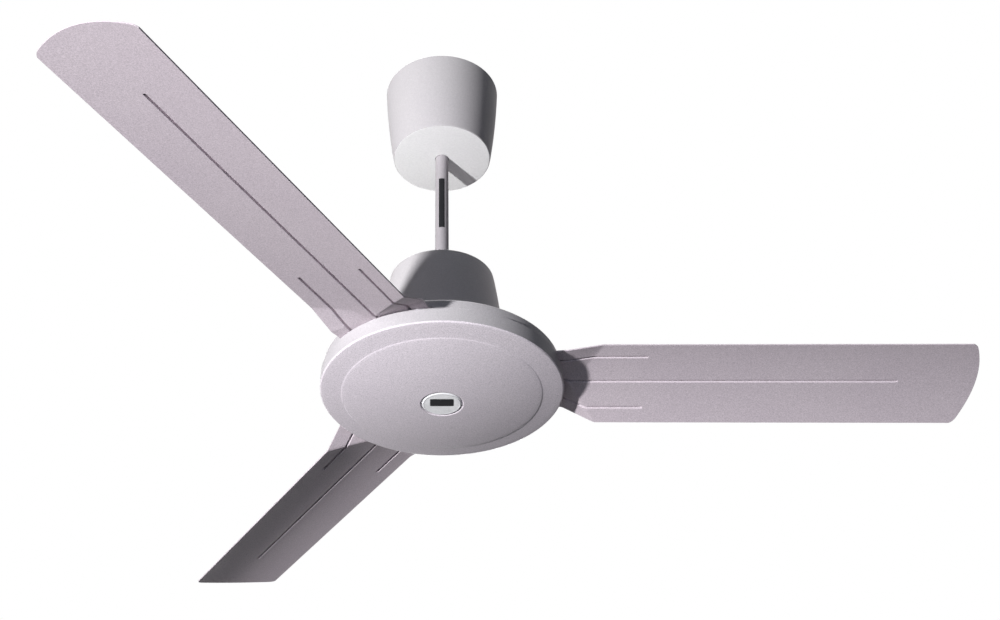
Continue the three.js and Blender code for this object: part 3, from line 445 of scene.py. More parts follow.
def makeCups():
    canopy = spun("canopyCup", cupProfile(), steps=112)
    lower = copied(canopy, "lowerCoverCup", Matrix.Rotation(pi, 4, "X"))
    for piece, body, node, closedEnd, outward in (
            (canopy, "canopy", "canopy", cup["canopyFoot"], -1),
            (lower, "lower_cover", "lower_cover", cup["coverTop"], 1)):
        piece.data.transform(Matrix.Translation((0, 0, closedEnd * mm)))
        smooth(piece, degrees=35)
        finishWith(piece, body, "cup_paint", node)
        # the closed end is painted paler than the wall: painted light that makes it brighter than
        # the lamps alone would
        piece.data.materials.append(finishes["cupFloorPaintedLight"])
        for face in piece.data.polygons:
            isOutside = abs(face.center.z / mm - closedEnd) < cup["endReach"]
            if face.normal.z * outward > flatFace and isOutside:
                face.material_index = 1


# downrod with the dark panel on it

rod = {
    "radius": 8.25, "bore": 6.25, "top": -60.0, "foot": deckHeight + 77.3, "edge": 0.4,
    "holeRadius": 3.3, "holes": (-72.0, deckHeight + 96.3),
    "panelTop": -157.0, "panelFoot": -237.0, "panelHalfAngle": 25.0, "panelTurn": 268.0,
    "panelLift": 0.06, "panelThick": 0.12, "panelSteps": (10, 12),
}


def makeRod():
    outer, bore, edge, foot, top = (rod[key] for key in ("radius", "bore", "edge", "foot", "top"))
    profile = [
        (bore, foot + edge), (bore + edge, foot), (outer - edge, foot), (outer, foot + edge),
        (outer, top - edge), (outer - edge, top), (bore + edge, top), (bore, top - edge)]
    pipe = spun("downrodTube", profile, steps=48)
    for height in rod["holes"]:
        cutAway(pipe, drill(rod["holeRadius"], (0, 0, height), reach=20, axis="Y", sides=24))
    smooth(pipe, degrees=30)
    finishWith(pipe, "hanger", "rod_paint", "downrod")

    # a strip of the rod's own skin, lifted a little
    steps, length = rod["panelSteps"], rod["panelTop"] - rod["panelFoot"]
    clearSelection()
    bpy.ops.mesh.primitive_grid_add(x_subdivisions=steps[0], y_subdivisions=steps[1], size=2)
    panel = started("rodPanel")
    reach = (outer + rod["panelLift"]) * mm
    for vertex in panel.data.vertices:
        angle = radians(rod["panelTurn"] + vertex.co.x * rod["panelHalfAngle"])
        height = rod["panelFoot"] + (vertex.co.y + 1) / 2 * length
        vertex.co = (reach * cos(angle), reach * sin(angle), height * mm)
    applied(panel, "SOLIDIFY", thickness=rod["panelThick"] * mm, offset=0)
    smooth(panel)
    finishWith(panel, "hanger", "black_plastic", finish="panelBlack")


# bottom cover, badge and top shell

disc = {
    "radius": 136.0, "rimHeight": 18.4, "wall": 1.5, "footRound": 1.3, "ringDrop": 3.4,
    "stepRadius": 112.9, "domeRadius": 111.5, "domeEdge": -4.0, "domeDrop": 14.6, "domeSteps": 18,
    "recess": 22.8, "recessLip": 24.3, "recessDrop": 12.6, "lipBevel": 0.15, "lipBand": 0.5,
    "seatRing": (14.0, 17.0), "seatTop": -10.3, "screwHole": 2.8,
    "ringMarks": (116, 120, 124, 128), "rimBevel": 0.3, "rimBand": 1.0, "paintedShadeFrom": 134.4,
    # the bright facet below the rim keeps the paler face paint, a painted highlight along the
    # edge: three points from the ring's edge, four from the rim
    "facetFoot": ((-0.5, -0.08), (0.0, 0.04), (0.15, 0.12)),
    "facetTop": ((-0.15, 1.25), (-0.02, 1.4), (0.0, 1.55), (0.0, 2.2)),
    "insideFoot": 2.6, "insideRound": (0.6, 1.4), "insideStep": 0.4,
    # bevels as (across, up), beside the dome, behind the recess and at its bottom and lip
    "domeBevel": 0.3, "stepNear": (0.2, 0.08), "stepFar": (0.8, -0.12),
    "recessBack": ((2.6, -0.4), (1.6, 0.0)), "recessBevel": (0.3, 0.1), "lipTop": (-0.1, 0.1),
}


def domeHeight(radius):
    rise = disc["domeEdge"] + disc["domeDrop"]
    return -disc["domeDrop"] + rise * (radius / disc["domeRadius"]) ** 2


def discProfile():
    outer, wall, drop, top = disc["radius"], disc["wall"], disc["ringDrop"], disc["rimHeight"]
    stepRadius, domeRadius, bevel = disc["stepRadius"], disc["domeRadius"], disc["rimBevel"]
    lip, ringEnd = disc["recessLip"] + disc["lipBevel"], outer - disc["footRound"]
    count = disc["domeSteps"]
    domeEnd = domeRadius - disc["domeBevel"]
    radii = [lip + (domeEnd - lip) * step / count for step in range(count + 1)]
    radii.insert(1, lip + disc["lipBand"])
    dome = [(radius, domeHeight(radius)) for radius in radii]
    under = [(radius, domeHeight(radius) + wall) for radius in reversed(radii[1:])]
    near, far = disc["stepNear"], disc["stepFar"]
    step = [(domeRadius + near[0], disc["domeEdge"] + near[1]),
            (domeRadius + far[0], -drop + far[1]), (stepRadius, -drop)]
    ring = [(mark, -drop + (mark - stepRadius) / (ringEnd - stepRadius) * drop)
            for mark in disc["ringMarks"]]
    rim = [(ringEnd + across, rise) for across, rise in disc["facetFoot"]]
    rim += [(outer + across, rise) for across, rise in disc["facetTop"]]
    rim += [(outer, top - disc["rimBand"]), (outer, top - bevel), (outer - bevel, top),
            (outer - wall + bevel, top), (outer - wall, top - bevel)]
    inside = [(outer - wall, disc["insideFoot"]),
              (ringEnd - disc["insideRound"][0], disc["insideRound"][1]),
              (stepRadius + disc["insideStep"], -drop + wall)]
    # the recess for the badge, with the seat ring and the screw hole behind it
    seatInner, seatOuter = disc["seatRing"]
    recess, hole, seatTop = disc["recess"], disc["screwHole"], disc["seatTop"]
    low = -disc["recessDrop"]
    high = low + wall
    inward, down = disc["recessBevel"]
    centre = [(recess + across, high + up) for across, up in disc["recessBack"]]
    centre += [(seatOuter, high), (seatOuter, seatTop), (seatInner, seatTop), (seatInner, high),
               (hole, high), (hole, low), (recess - inward, low), (recess, low - down),
               (disc["recessLip"] + disc["lipTop"][0], domeHeight(lip) + disc["lipTop"][1])]
    return dome + step + ring + rim + inside + under + centre


def makeDisc():
    cover = spun("bottomCoverDisc", discProfile(), steps=144, height=deck)
    smooth(cover, degrees=26)
    finishWith(cover, "rotor", "disc_paint", "bottom_cover")
    # the upright rim wears a darker copy of the face's paint, as the shell above it does: painted
    # shade against the square light on them, while the paler face is painted light
    cover.data.materials.append(finishes["rimPaintedShade"])
    for face in cover.data.polygons:
        reach = hypot(face.center.x, face.center.y)
        if reach > disc["paintedShadeFrom"] * mm and abs(face.normal.z) < steepFace:
            face.material_index = 1


badge = {
    "radius": 22.4, "top": -12.9, "face": -14.1, "rimTop": -14.25, "rimInside": 19.6,
    "rimFlat": 20.5, "wall": 0.6, "rimBand": 1.0, "rimRise": 0.02, "rimMetalGap": 0.1,
    # the crown's radius and how far it stands out, then the rim's bead, edge and back
    "crown": ((0.0, 0.15), (8.0, 0.12), (15.0, 0.05)),
    "bead": ((-0.4, 0.03), (-0.1, 0.0), (0.2, 0.03)),
    "edge": ((-0.15, -0.45), (0.0, -0.3), (0.0, 0.0)),
    "back": ((20.6, 0.7), (18.4, 0.4), (0.0, 0.3)),
    "panelHalf": (13.2, 6.8), "panelShift": -3.6, "panelRound": 1.6, "panelLift": 0.35,
    "panelThick": 0.36,
}


def makeBadge():
    outer, face, top, inside = badge["radius"], badge["face"], badge["top"], badge["rimInside"]
    profile = [(radius, face - rise) for radius, rise in badge["crown"]]
    profile += [(inside - badge["rimBand"], face), (inside, face + badge["rimRise"])]
    profile += [(badge["rimFlat"] + across, badge["rimTop"] + rise)
                for across, rise in badge["bead"]]
    profile += [(outer + across, top + rise) for across, rise in badge["edge"]]
    profile += [(outer - badge["wall"], top)]
    profile += [(radius, face + rise) for radius, rise in badge["back"]]
    plate = spun("badgePlate", profile, steps=96, closed=False, height=deck)
    smooth(plate, degrees=20)
    finishWith(plate, "rotor", "badge_metal", "badge")
    plate.data.materials.append(finishes["rimMetal"])
    rimFrom = (inside + badge["rimMetalGap"]) * mm
    for polygon in plate.data.polygons:
        if hypot(polygon.center.x, polygon.center.y) > rimFrom:
            polygon.material_index = 1

    # a plain dark panel with rounded corners
    clearSelection()
    bpy.ops.mesh.primitive_plane_add(size=2)
    panel = started("badgePanel")
    panel.scale = (badge["panelHalf"][0] * mm, badge["panelHalf"][1] * mm, 1)
    settle(panel)
    applied(panel, "BEVEL", affect="VERTICES", width=badge["panelRound"] * mm, segments=5)
    panel.data.transform(Matrix.Translation(
        (0, badge["panelShift"] * mm, deck + (face - badge["panelLift"]) * mm)))
    applied(panel, "SOLIDIFY", thickness=badge["panelThick"] * mm, offset=1)
    finishWith(panel, "rotor", "black_plastic", finish="panelBlack")


shell = {
    "radius": 133.5, "wall": 1.5, "foot": 12.0, "shoulder": 32.2, "round": 4.0, "inner": 76.5,
    "top": 42.0, "slopeMarks": (110.0, 92.0), "innerBevel": (0.4, 0.3),
    "notchInner": 78.0, "notchOuter": 138.7, "notchHalf": 57.5, "notchTop": 21.6,
    "pillarCircle": 113.0, "pillarRadius": 5.0, "pillarFoot": 18.8, "pillarBite": 0.3,
    "screwHole": 2.3, "screwDeep": 9.0,
}


def shellHeight(radius):
    # the upper face rises evenly from the shoulder's round to the opening
    shoulder = shell["radius"] - shell["round"]
    slope = (shell["top"] - shell["shoulder"]) / (shoulder - shell["inner"])
    return shell["shoulder"] + slope * (shoulder - radius)


def makeShell():
    outer, wall, edge, foot = shell["radius"], shell["wall"], shell["round"], shell["foot"]
    inner, top, circle = shell["inner"], shell["top"], shell["pillarCircle"]
    outerMark, innerMark = shell["slopeMarks"]
    across, down = shell["innerBevel"]
    middle = (outer - edge, shell["shoulder"] - edge)
    profile = (
        [(outer - wall, foot), (outer, foot)] + arc(middle, edge, 0, 80, 6)
        + [(outerMark, shellHeight(outerMark)), (innerMark, shellHeight(innerMark)),
           (inner + across, top), (inner, top - down), (inner, top - wall),
           (outerMark, shellHeight(outerMark) - wall)]
        + arc(middle, edge - wall, 80, 0, 5))
    body = spun("topShellDome", profile, steps=144, height=deck)
    for index in range(3):
        notch = boxAt((shell["notchInner"], -shell["notchHalf"], foot - over + deckHeight),
                      (shell["notchOuter"], shell["notchHalf"], shell["notchTop"] + deckHeight))
        notch.data.transform(turned(120 * index))
        cutAway(body, notch)
    # pillars for the screws stand between the notches
    pillars, low = [], shell["pillarFoot"] + deckHeight
    rise = shellHeight(circle) - wall - shell["pillarFoot"] + shell["pillarBite"]
    for index in range(3):
        post = barAt(shell["pillarRadius"], (circle, 0, low), rise)
        cutAway(post, barAt(shell["screwHole"], (circle, 0, low - over),
                            shell["screwDeep"] + over, sides=16))
        post.data.transform(turned(60 + 120 * index))
        pillars.append(post)
    joined(body, *pillars)
    smooth(body, degrees=28)
    # the shell wears the rim's darker copy of the disc paint, painted shade
    finishWith(body, "rotor", "disc_paint", "top_shell", finish="rimPaintedShade")


# blades

blade = {
    "tip": 600.0, "tipArc": 124.0, "rootHalf": 56.7, "tipHalf": 57.7, "pitch": 0.2422,
    "camber": 4.7, "midHeight": 16.6, "tabHeight": 18.8, "sheet": 1.4, "cornerRound": 7.0,
    "tabInner": 78.0, "tabInnerHalf": 49.0, "tabOuter": 138.7, "foldEdge": 174.5,
    "foldRaised": 140.0, "foldCurve": 2.39, "foldPower": 0.68, "foldLowered": 141.0,
    "foldSoft": 1.6, "sideOffset": 37.1, "sideEnd": 228.5, "middleEnd": 512.2,
    "grooveHalf": 1.9, "grooveDepth": 3.4, "grooveStart": 122.0, "runOut": 3.0,
    "screwHoles": ((90.0, -26.0), (90.0, 26.0), (109.0, 0.0)), "screwHole": 2.5, "edgeSoft": 0.2,
}
bladeMesh = {
    # where the sheet has rows, counted from the axis, and columns, counted from its middle
    "tabRows": (86, 95, 105, 114, 121, 122, 123, 124, 125.2, 131), "sideRows": (192, 208),
    "longFold": (-1.8, -0.9, 0, 0.9, 1.8), "shortFold": (-1.8, -1.1, -0.5, 0), "shortUnder": 6,
    "shortShare": 0.4, "foldShares": (0.3, 0.12), "pastFold": (0, 0.9, 1.9),
    "grooveEnd": (-3.2, -2.4, -1.6, -0.8, 0, 1), "middleRows": (260, 300, 340, 380, 420, 460, 490),
    "lastRow": 535, "lastShares": (0.35, 0.7), "tipRows": (4, 1.4, 0.5, 0),
    "grooveShares": (0.2, 0.4, 0.6, 0.8, 1.0), "grooveBand": 0.5,
    "middleColumns": (6, 12, 18, 24, 30), "straightBand": 0.05,
    "edgeColumns": (43, 47, 50, 51.6, 53, 54.3, 55.3, 56.0, 56.45),
}


def tipAt(across):
    arcRadius, corner = blade["tipArc"], blade["cornerRound"]
    reach = blade["tip"] - arcRadius + sqrt(arcRadius ** 2 - across ** 2)
    past = max(0.0, abs(across) - (blade["tipHalf"] - corner))
    return reach - corner + sqrt(max(0.0, corner ** 2 - past ** 2))


def foldAt(across):
    # the raised edge folds on a curve, the lowered edge on a straight line
    if across < 0:
        return blade["foldRaised"] + blade["foldCurve"] * abs(across) ** blade["foldPower"]
    lowered = blade["foldLowered"]
    return lowered + (blade["foldEdge"] - lowered) * across / blade["rootHalf"]


def halfWidthAt(along):
    if along < blade["tabOuter"]:
        share = (along - blade["tabInner"]) / (blade["tabOuter"] - blade["tabInner"])
        return blade["tabInnerHalf"] + (blade["rootHalf"] - blade["tabInnerHalf"]) * share
    share = (along - blade["tabOuter"]) / (blade["tip"] - blade["tabOuter"])
    return blade["rootHalf"] + (blade["tipHalf"] - blade["rootHalf"]) * share


def roundedStart(value, soft):
    # a ramp that starts at zero, with its corner rounded over a short length
    if value < -soft:
        return 0.0
    if value > soft:
        return value
    return (value + soft) ** 2 / (4 * soft)


def sheetHeight(along, across):
    pitched = (blade["midHeight"] - across * tan(blade["pitch"])
               - blade["camber"] * (across / blade["tipHalf"]) ** 2)
    start, end = blade["tabOuter"], foldAt(across)
    share = (along - start) / (end - start)
    soft = blade["foldSoft"] / (end - start)
    blend = roundedStart(share, soft) - roundedStart(share - 1, soft)
    return blade["tabHeight"] + (pitched - blade["tabHeight"]) * blend


def grooveRise(along, column):
    rise, side, runOut = 0.0, blade["sideOffset"], blade["runOut"]
    for offset, end in ((0.0, blade["middleEnd"]), (-side, blade["sideEnd"]),
                        (side, blade["sideEnd"])):
        distance = abs(column - offset) / blade["grooveHalf"]
        if distance >= 1:
            continue
        inside = min((along - blade["grooveStart"]) / runOut, (end - along) / runOut, 1.0)
        if inside > 0:
            section = 0.5 + 0.5 * cos(pi * distance)
            rise = max(rise, blade["grooveDepth"] * section * sin(inside * pi / 2))
    return rise


def bladeColumns():
    half, band, side = blade["grooveHalf"], bladeMesh["grooveBand"], blade["sideOffset"]
    within = [half * share for share in bladeMesh["grooveShares"]]
    beside = within + [half + band]
    marks = [0.0] + beside + list(bladeMesh["middleColumns"])
    marks += [side - part for part in reversed(beside)] + [side] + [side + part for part in beside]
    marks += list(bladeMesh["edgeColumns"]) + [blade["rootHalf"]]
    return [-mark for mark in reversed(marks[1:])] + marks


def bladeRows(across):
    start, fold = blade["tabOuter"], foldAt(across)
    run, tip, last = fold - start, tipAt(across), bladeMesh["lastRow"]
    rows = [blade["tabInner"], *bladeMesh["tabRows"]]
    if run < bladeMesh["shortUnder"]:
        rows += [start + offset for offset in bladeMesh["shortFold"]]
        rows += [start + run * bladeMesh["shortShare"]]
    else:
        rows += [start + offset for offset in bladeMesh["longFold"]]
    rows += [fold - run * share for share in bladeMesh["foldShares"]]
    rows += [fold + offset for offset in bladeMesh["pastFold"]]
    for between, end in ((bladeMesh["sideRows"], blade["sideEnd"]),
                         (bladeMesh["middleRows"], blade["middleEnd"])):
        rows += [*between] + [end + offset for offset in bladeMesh["grooveEnd"]]
    rows += [last] + [last + (tip - last) * share for share in bladeMesh["lastShares"]]
    return rows + [tip - offset for offset in bladeMesh["tipRows"]]


def makeBlades():
    columns = bladeColumns()
    rowCount = len(bladeRows(0.0))
    clearSelection()
    bpy.ops.mesh.primitive_grid_add(
        x_subdivisions=rowCount - 1, y_subdivisions=len(columns) - 1, size=2)
    sheet = started("bladeSheet1")
    edge = blade["sideOffset"] + blade["grooveHalf"] + bladeMesh["straightBand"]
    for vertex in sheet.data.vertices:
        row = round((vertex.co.x + 1) / 2 * (rowCount - 1))
        column = columns[round((vertex.co.y + 1) / 2 * (len(columns) - 1))]
        along = bladeRows(column)[row]
        # past the side grooves the columns spread to the sheet's own edge
        past = max(0.0, abs(column) - edge)
        wider = (halfWidthAt(along) - edge) / (blade["rootHalf"] - edge)
        across = (1 if column > 0 else -1) * (abs(column) - past + past * wider)
        height = sheetHeight(along, across) + grooveRise(along, column)
        vertex.co = (along * mm, across * mm, height * mm + deck)
    applied(sheet, "SOLIDIFY", thickness=blade["sheet"] * mm, offset=1, use_even_offset=True)
    for along, across in blade["screwHoles"]:
        low = blade["tabHeight"] + deckHeight - 3
        cutAway(sheet, barAt(blade["screwHole"], (along, across, low), 8, sides=24))
    applied(sheet, "BEVEL", width=blade["edgeSoft"] * mm, segments=2, limit_method="ANGLE",
            angle_limit=radians(60))
    smooth(sheet, degrees=24)
    others = [copied(sheet, f"bladeSheet{index + 1}", turned(120 * index)) for index in (1, 2)]
    for index, piece in enumerate([sheet] + others):
        finishWith(piece, "rotor", "blade_paint", f"blade_{index + 1}")


# bolts, nuts, pins and screws, each modelled once and copied

fastener = {
    "threadDepth": 0.3, "flare": 1.05, "chamfer": 0.55, "neck": 0.4, "boltPitch": 1.0,
    "boltTail": 0.5, "boltTaper": 0.6, "screwPitch": 0.8, "screwTail": 1.0, "screwTaper": 0.55,
    "pinLeg": 0.4, "pinHalf": 6.0, "pinHole": 0.95, "eyeRadius": 1.05, "nutPlay": 0.05,
    # a pan head's curve and its cross recess, as shares of the head
    "head": ((0.45, 0.98), (0.76, 0.84), (0.94, 0.52), (1.0, 0.15)),
    "recessHalf": 0.13, "recessReach": 0.56, "recessDepth": 0.62,
}
faced = {
    "Z": Matrix.Identity(4), "-Z": Matrix.Rotation(pi, 4, "X"),
    "X": Matrix.Rotation(pi / 2, 4, "Y"), "Y": Matrix.Rotation(-pi / 2, 4, "X"),
}


def put(piece, at, facing="Z"):
    # from its own upright place at the origin to its place on the fan
    piece.data.transform(Matrix.Translation(Vector(at) * mm) @ faced[facing])
    return piece


def putCopy(piece, name, at, facing="Z"):
    return put(copied(piece, name, Matrix.Identity(4)), at, facing)


def threadRings(radius, start, end, pitch):
    points, depth = [], start
    while depth + pitch < end:
        points += [(radius, -depth), (radius - fastener["threadDepth"], -depth - pitch / 2)]
        depth += pitch
    return points + [(radius, -depth)]


def hexPiece(name, radius, high, bore=0.0):
    # six sides, with the turned chamfer of a real head or nut
    clearSelection()
    bpy.ops.mesh.primitive_cylinder_add(
        vertices=6, radius=radius * mm, depth=high * mm, location=(0, 0, high / 2 * mm))
    piece = settle(started(name))
    flat, wide = radius * cos(pi / 6), radius * fastener["flare"]
    slope = (wide - flat) * fastener["chamfer"]
    low = [(0.0, 0.0), (flat, 0.0), (wide, slope)] if bore else [(0.0, -over), (wide, -over)]
    top = [(wide, high - slope), (flat, high), (0.0, high)]
    envelope = spun("tool", low + top, steps=48, closed=False)
    applied(piece, "BOOLEAN", operation="INTERSECT", solver="EXACT", object=envelope)
    bpy.data.objects.remove(envelope)
    if bore:
        cutAway(piece, barAt(bore, (0, 0, -over), high + 2 * over))
        piece.data.transform(turned(30))
    return smooth(piece, degrees=20)


def boltPiece(name, hexRadius, high, shank, length, plain, pinAt=None):
    neck, taper, pitch = fastener["neck"], fastener["boltTaper"], fastener["boltPitch"]
    profile = [(0.0, neck), (shank, neck), (shank, 0.0)]
    profile += threadRings(shank, plain, length - fastener["boltTail"], pitch)
    profile += [(shank - taper, -length), (0.0, -length)]
    body = spun("shank", profile, steps=40, closed=False)
    if pinAt:
        cutAway(body, drill(fastener["pinHole"], (0, 0, pinAt), reach=20, axis="Y", sides=16))
    smooth(body, degrees=20)
    return joined(hexPiece(name, hexRadius, high), body)


def screwPiece(kind, name="screwPattern"):
    row = screws[kind]
    radius, high, shank, length = (row[key] for key in ("radius", "high", "shank", "length"))
    pitch = fastener["screwPitch"]
    profile = [(0.0, high)] + [(radius * out, high * up) for out, up in fastener["head"]]
    profile += [(radius, 0.0), (shank, 0.0)]
    profile += threadRings(shank, pitch, length - fastener["screwTail"], pitch)
    profile += [(shank * fastener["screwTaper"], -length), (0.0, -length)]
    piece = spun(name, profile, steps=40, closed=False)
    half, reach = radius * fastener["recessHalf"], radius * fastener["recessReach"]
    floor = high * (1 - fastener["recessDepth"])
    for angle in (0, 90):
        slot = boxAt((-reach, -half, floor), (reach, half, high + over))
        slot.data.transform(turned(angle))
        cutAway(piece, slot)
    return smooth(piece, degrees=24)


def pinPiece(name):
    # two legs side by side and the eye they spring from
    leg, half, eye = fastener["pinLeg"], fastener["pinHalf"], fastener["eyeRadius"]
    legs = [barAt(leg, (0, side * leg, -half + cut), 2 * half - cut - 2 * eye - leg, "Z", 14)
            for side, cut in ((-1, 0.0), (1, 1.0))]
    clearSelection()
    bpy.ops.mesh.primitive_torus_add(
        major_segments=28, minor_segments=12, major_radius=eye * mm, minor_radius=leg * mm,
        location=(0, 0, (half - eye - leg) * mm), rotation=(0, pi / 2, 0))
    return smooth(joined(settle(started(name)), *legs), degrees=50)


def roundedPlate(name, low, high, corner, bottom, top):
    middle = [(a + b) / 2 * mm for a, b in zip(low, high)]
    clearSelection()
    bpy.ops.mesh.primitive_plane_add(size=2, location=(*middle, bottom * mm))
    plate = started(name)
    plate.scale = (*((b - a) / 2 * mm for a, b in zip(low, high)), 1)
    settle(plate)
    applied(plate, "BEVEL", affect="VERTICES", width=corner * mm, segments=6)
    return applied(plate, "SOLIDIFY", thickness=(top - bottom) * mm, offset=1)


def softened(piece, width, degrees=50, segments=2):
    applied(piece, "BEVEL", width=width * mm, segments=segments, limit_method="ANGLE",
            angle_limit=radians(degrees), use_clamp_overlap=True)
    return smooth(piece, degrees=40)


crossBolts = {
    "hexRadius": 5.55, "headHigh": 3.9, "shank": 3.0, "nutHigh": 4.5, "plain": 26.0,
    "shackle": {"height": -72.0, "head": 13.7, "end": -23.0, "nut": -18.2, "pin": -20.75},
    "coupling": {"height": deckHeight + 96.3, "head": 14.3, "end": -23.6, "nut": -18.8,
                 "pin": -21.35},
    "shaft": {"height": deckHeight + 66.2, "head": 14.3, "end": -23.6, "nut": -18.8, "pin": None},
}


def makeCrossBolts():
    hexRadius, shank = crossBolts["hexRadius"], crossBolts["shank"]
    nut = hexPiece("nutPattern", hexRadius, crossBolts["nutHigh"], shank + fastener["nutPlay"])
    pin = pinPiece("pinPattern")
    for name, slot in (("shackle", "zinc_steel"), ("coupling", "zinc_steel"),
                       ("shaft", "bright_steel")):
        row = crossBolts[name]
        pinAt = row["pin"] - row["head"] if row["pin"] else None
        bolt = boltPiece(f"{name}BoltThreaded", hexRadius, crossBolts["headHigh"], shank,
                         row["head"] - row["end"], crossBolts["plain"], pinAt)
        put(bolt, (0, row["head"], row["height"]), "Y")
        finishWith(bolt, "hanger", slot, f"{name}_bolt")
        ownNut = putCopy(nut, f"{name}NutChamfered", (0, row["nut"], row["height"]), "Y")
        finishWith(ownNut, "hanger", slot, f"{name}_nut")
        if row["pin"]:
            ownPin = putCopy(pin, f"{name}PinSprung", (0, row["pin"], row["height"]))
            finishWith(ownPin, "hanger", slot, f"{name}_split_pin")
    bpy.data.objects.remove(nut)
    bpy.data.objects.remove(pin)


screws = {
    "blade": {"radius": 4.18, "high": 2.42, "shank": 2.2, "length": 5.8,
              "height": deckHeight + 20.3},
    "housing": {"radius": 3.8, "high": 2.2, "shank": 2.0, "length": 9.6,
                "height": deckHeight + 24.1, "circle": 76.0},
    "shell": {"radius": 3.8, "high": 2.2, "shank": 2.0, "length": 12.3,
              "height": deckHeight + 14.2, "circle": 113.0},
    "centre": {"radius": 4.6, "high": 1.0, "shank": 2.5, "length": 5.6,
               "height": deckHeight - 12.6, "across": 0},
    "capacitor": {"radius": 2.85, "high": 1.65, "shank": 1.5, "length": 8.0,
                  "height": deckHeight + 54.6, "across": 37.0},
}


def makeScrews():
    pattern = screwPiece("blade")
    for index in range(3):
        for count, (along, across) in enumerate(blade["screwHoles"]):
            screw = putCopy(pattern, f"bladeScrew{index + 1}{'abc'[count]}",
                            (along, across, screws["blade"]["height"]))
            screw.data.transform(turned(120 * index))
            finishWith(screw, "rotor", "zinc_steel", f"blade_{index + 1}_screw_{count + 1}")
    bpy.data.objects.remove(pattern)
    for kind, facing in (("housing", "Z"), ("shell", "-Z")):
        pattern, row = screwPiece(kind), screws[kind]
        for index in range(3):
            screw = putCopy(pattern, f"{kind}Screw{'abc'[index]}",
                            (row["circle"], 0, row["height"]), facing)
            screw.data.transform(turned(60 + 120 * index))
            finishWith(screw, "rotor", "zinc_steel", f"{kind}_screw_{index + 1}")
        bpy.data.objects.remove(pattern)
    for kind, body in (("centre", "rotor"), ("capacitor", "hanger")):
        screw = screwPiece(kind, f"{kind}ScrewCross")
        put(screw, (screws[kind]["across"], 0, screws[kind]["height"]), "-Z")
        finishWith(screw, body, "zinc_steel", f"{kind}_screw")


# ceiling bracket with its roller, and the shackle round it

bracket = {
    "half": (58.0, 20.0), "thick": 3.0, "corner": 6.0, "screwAt": 44.0, "screwHole": 3.3,
    "cableAt": 32.0, "cableHole": 6.0, "earInside": 20.0, "earOutside": 23.0, "earHalf": 15.0,
    "earBite": 1.0, "pivot": -32.0, "pivotHole": 4.3, "soft": 0.5,
}
roller = {
    "half": 19.5, "flange": 12.5, "groove": 9.0, "grooveHalf": 7.0, "slope": 1.5, "bore": 4.3,
    "edge": 0.5, "flangeEdge": 0.8, "waistBevel": (0.5, 0.15), "shoulderBevel": (0.4, 0.1),
}
rollerBolt = {
    "hexRadius": 7.4, "headAt": 23.3, "headHigh": 5.2, "shank": 4.0, "end": -31.8, "nutAt": -27.8,
    "nutHigh": 4.5, "plain": 45.0,
}
shackle = {
    "half": 6.5, "middle": 11.4, "thick": 4.0, "top": -32.0, "foot": -84.0, "boltAt": -72.0,
    "boltHole": 3.3, "soft": 0.7, "legShares": (0, 0.1, 0.35, 0.7, 0.95),
}


def makeBracket():
    half, thick, pivot = bracket["half"], bracket["thick"], bracket["pivot"]
    plate = roundedPlate("ceilingBracketPlate", (-half[0], -half[1]), half, bracket["corner"],
                         -thick, 0)
    wide = bracket["earOutside"] - bracket["earInside"]
    for start in (-bracket["earOutside"], bracket["earInside"]):
        ear = boxAt((start, -bracket["earHalf"], pivot),
                    (start + wide, bracket["earHalf"], -bracket["earBite"]))
        tip = barAt(bracket["earHalf"], (start, 0, pivot), wide, "X", 64)
        for target, other in ((ear, tip), (plate, ear)):
            applied(target, "BOOLEAN", operation="UNION", solver="EXACT", object=other)
            bpy.data.objects.remove(other)
    cutAway(plate, drill(bracket["pivotHole"], (0, 0, pivot), reach=40, axis="X"),
            drill(bracket["screwHole"], (-bracket["screwAt"], 0, 0), reach=10),
            drill(bracket["screwHole"], (bracket["screwAt"], 0, 0), reach=10),
            drill(bracket["cableHole"], (bracket["cableAt"], 0, 0), reach=10))
    softened(plate, bracket["soft"])
    finishWith(plate, "ceiling", "zinc_steel", "ceiling_bracket")

    half, flange, groove = roller["half"], roller["flange"], roller["groove"]
    waist, bore, edge, flangeEdge = (roller[key] for key in
                                     ("grooveHalf", "bore", "edge", "flangeEdge"))
    shoulder, low, high = waist + roller["slope"], roller["waistBevel"], roller["shoulderBevel"]
    side = [(groove, waist), (groove + low[0], waist + low[1]),
            (flange - high[0], shoulder - high[1]), (flange, shoulder + edge),
            (flange, half - flangeEdge), (flange - flangeEdge, half), (bore + edge, half),
            (bore, half - edge)]
    profile = [(radius, -rise) for radius, rise in reversed(side)] + side
    spool = smooth(spun("rollerSpool", profile, steps=64), degrees=30)
    put(spool, (0, 0, pivot), "X")
    finishWith(spool, "ceiling", "rubber", "rubber_roller")

    hexRadius, shank = rollerBolt["hexRadius"], rollerBolt["shank"]
    bolt = boltPiece("rollerBoltThreaded", hexRadius, rollerBolt["headHigh"], shank,
                     rollerBolt["headAt"] - rollerBolt["end"], rollerBolt["plain"])
    finishWith(put(bolt, (rollerBolt["headAt"], 0, pivot), "X"), "ceiling", "zinc_steel",
               "roller_bolt")
    nut = hexPiece("rollerNutChamfered", hexRadius, rollerBolt["nutHigh"],
                   shank + fastener["nutPlay"])
    finishWith(put(nut, (rollerBolt["nutAt"], 0, pivot), "X"), "ceiling", "zinc_steel",
               "roller_nut")


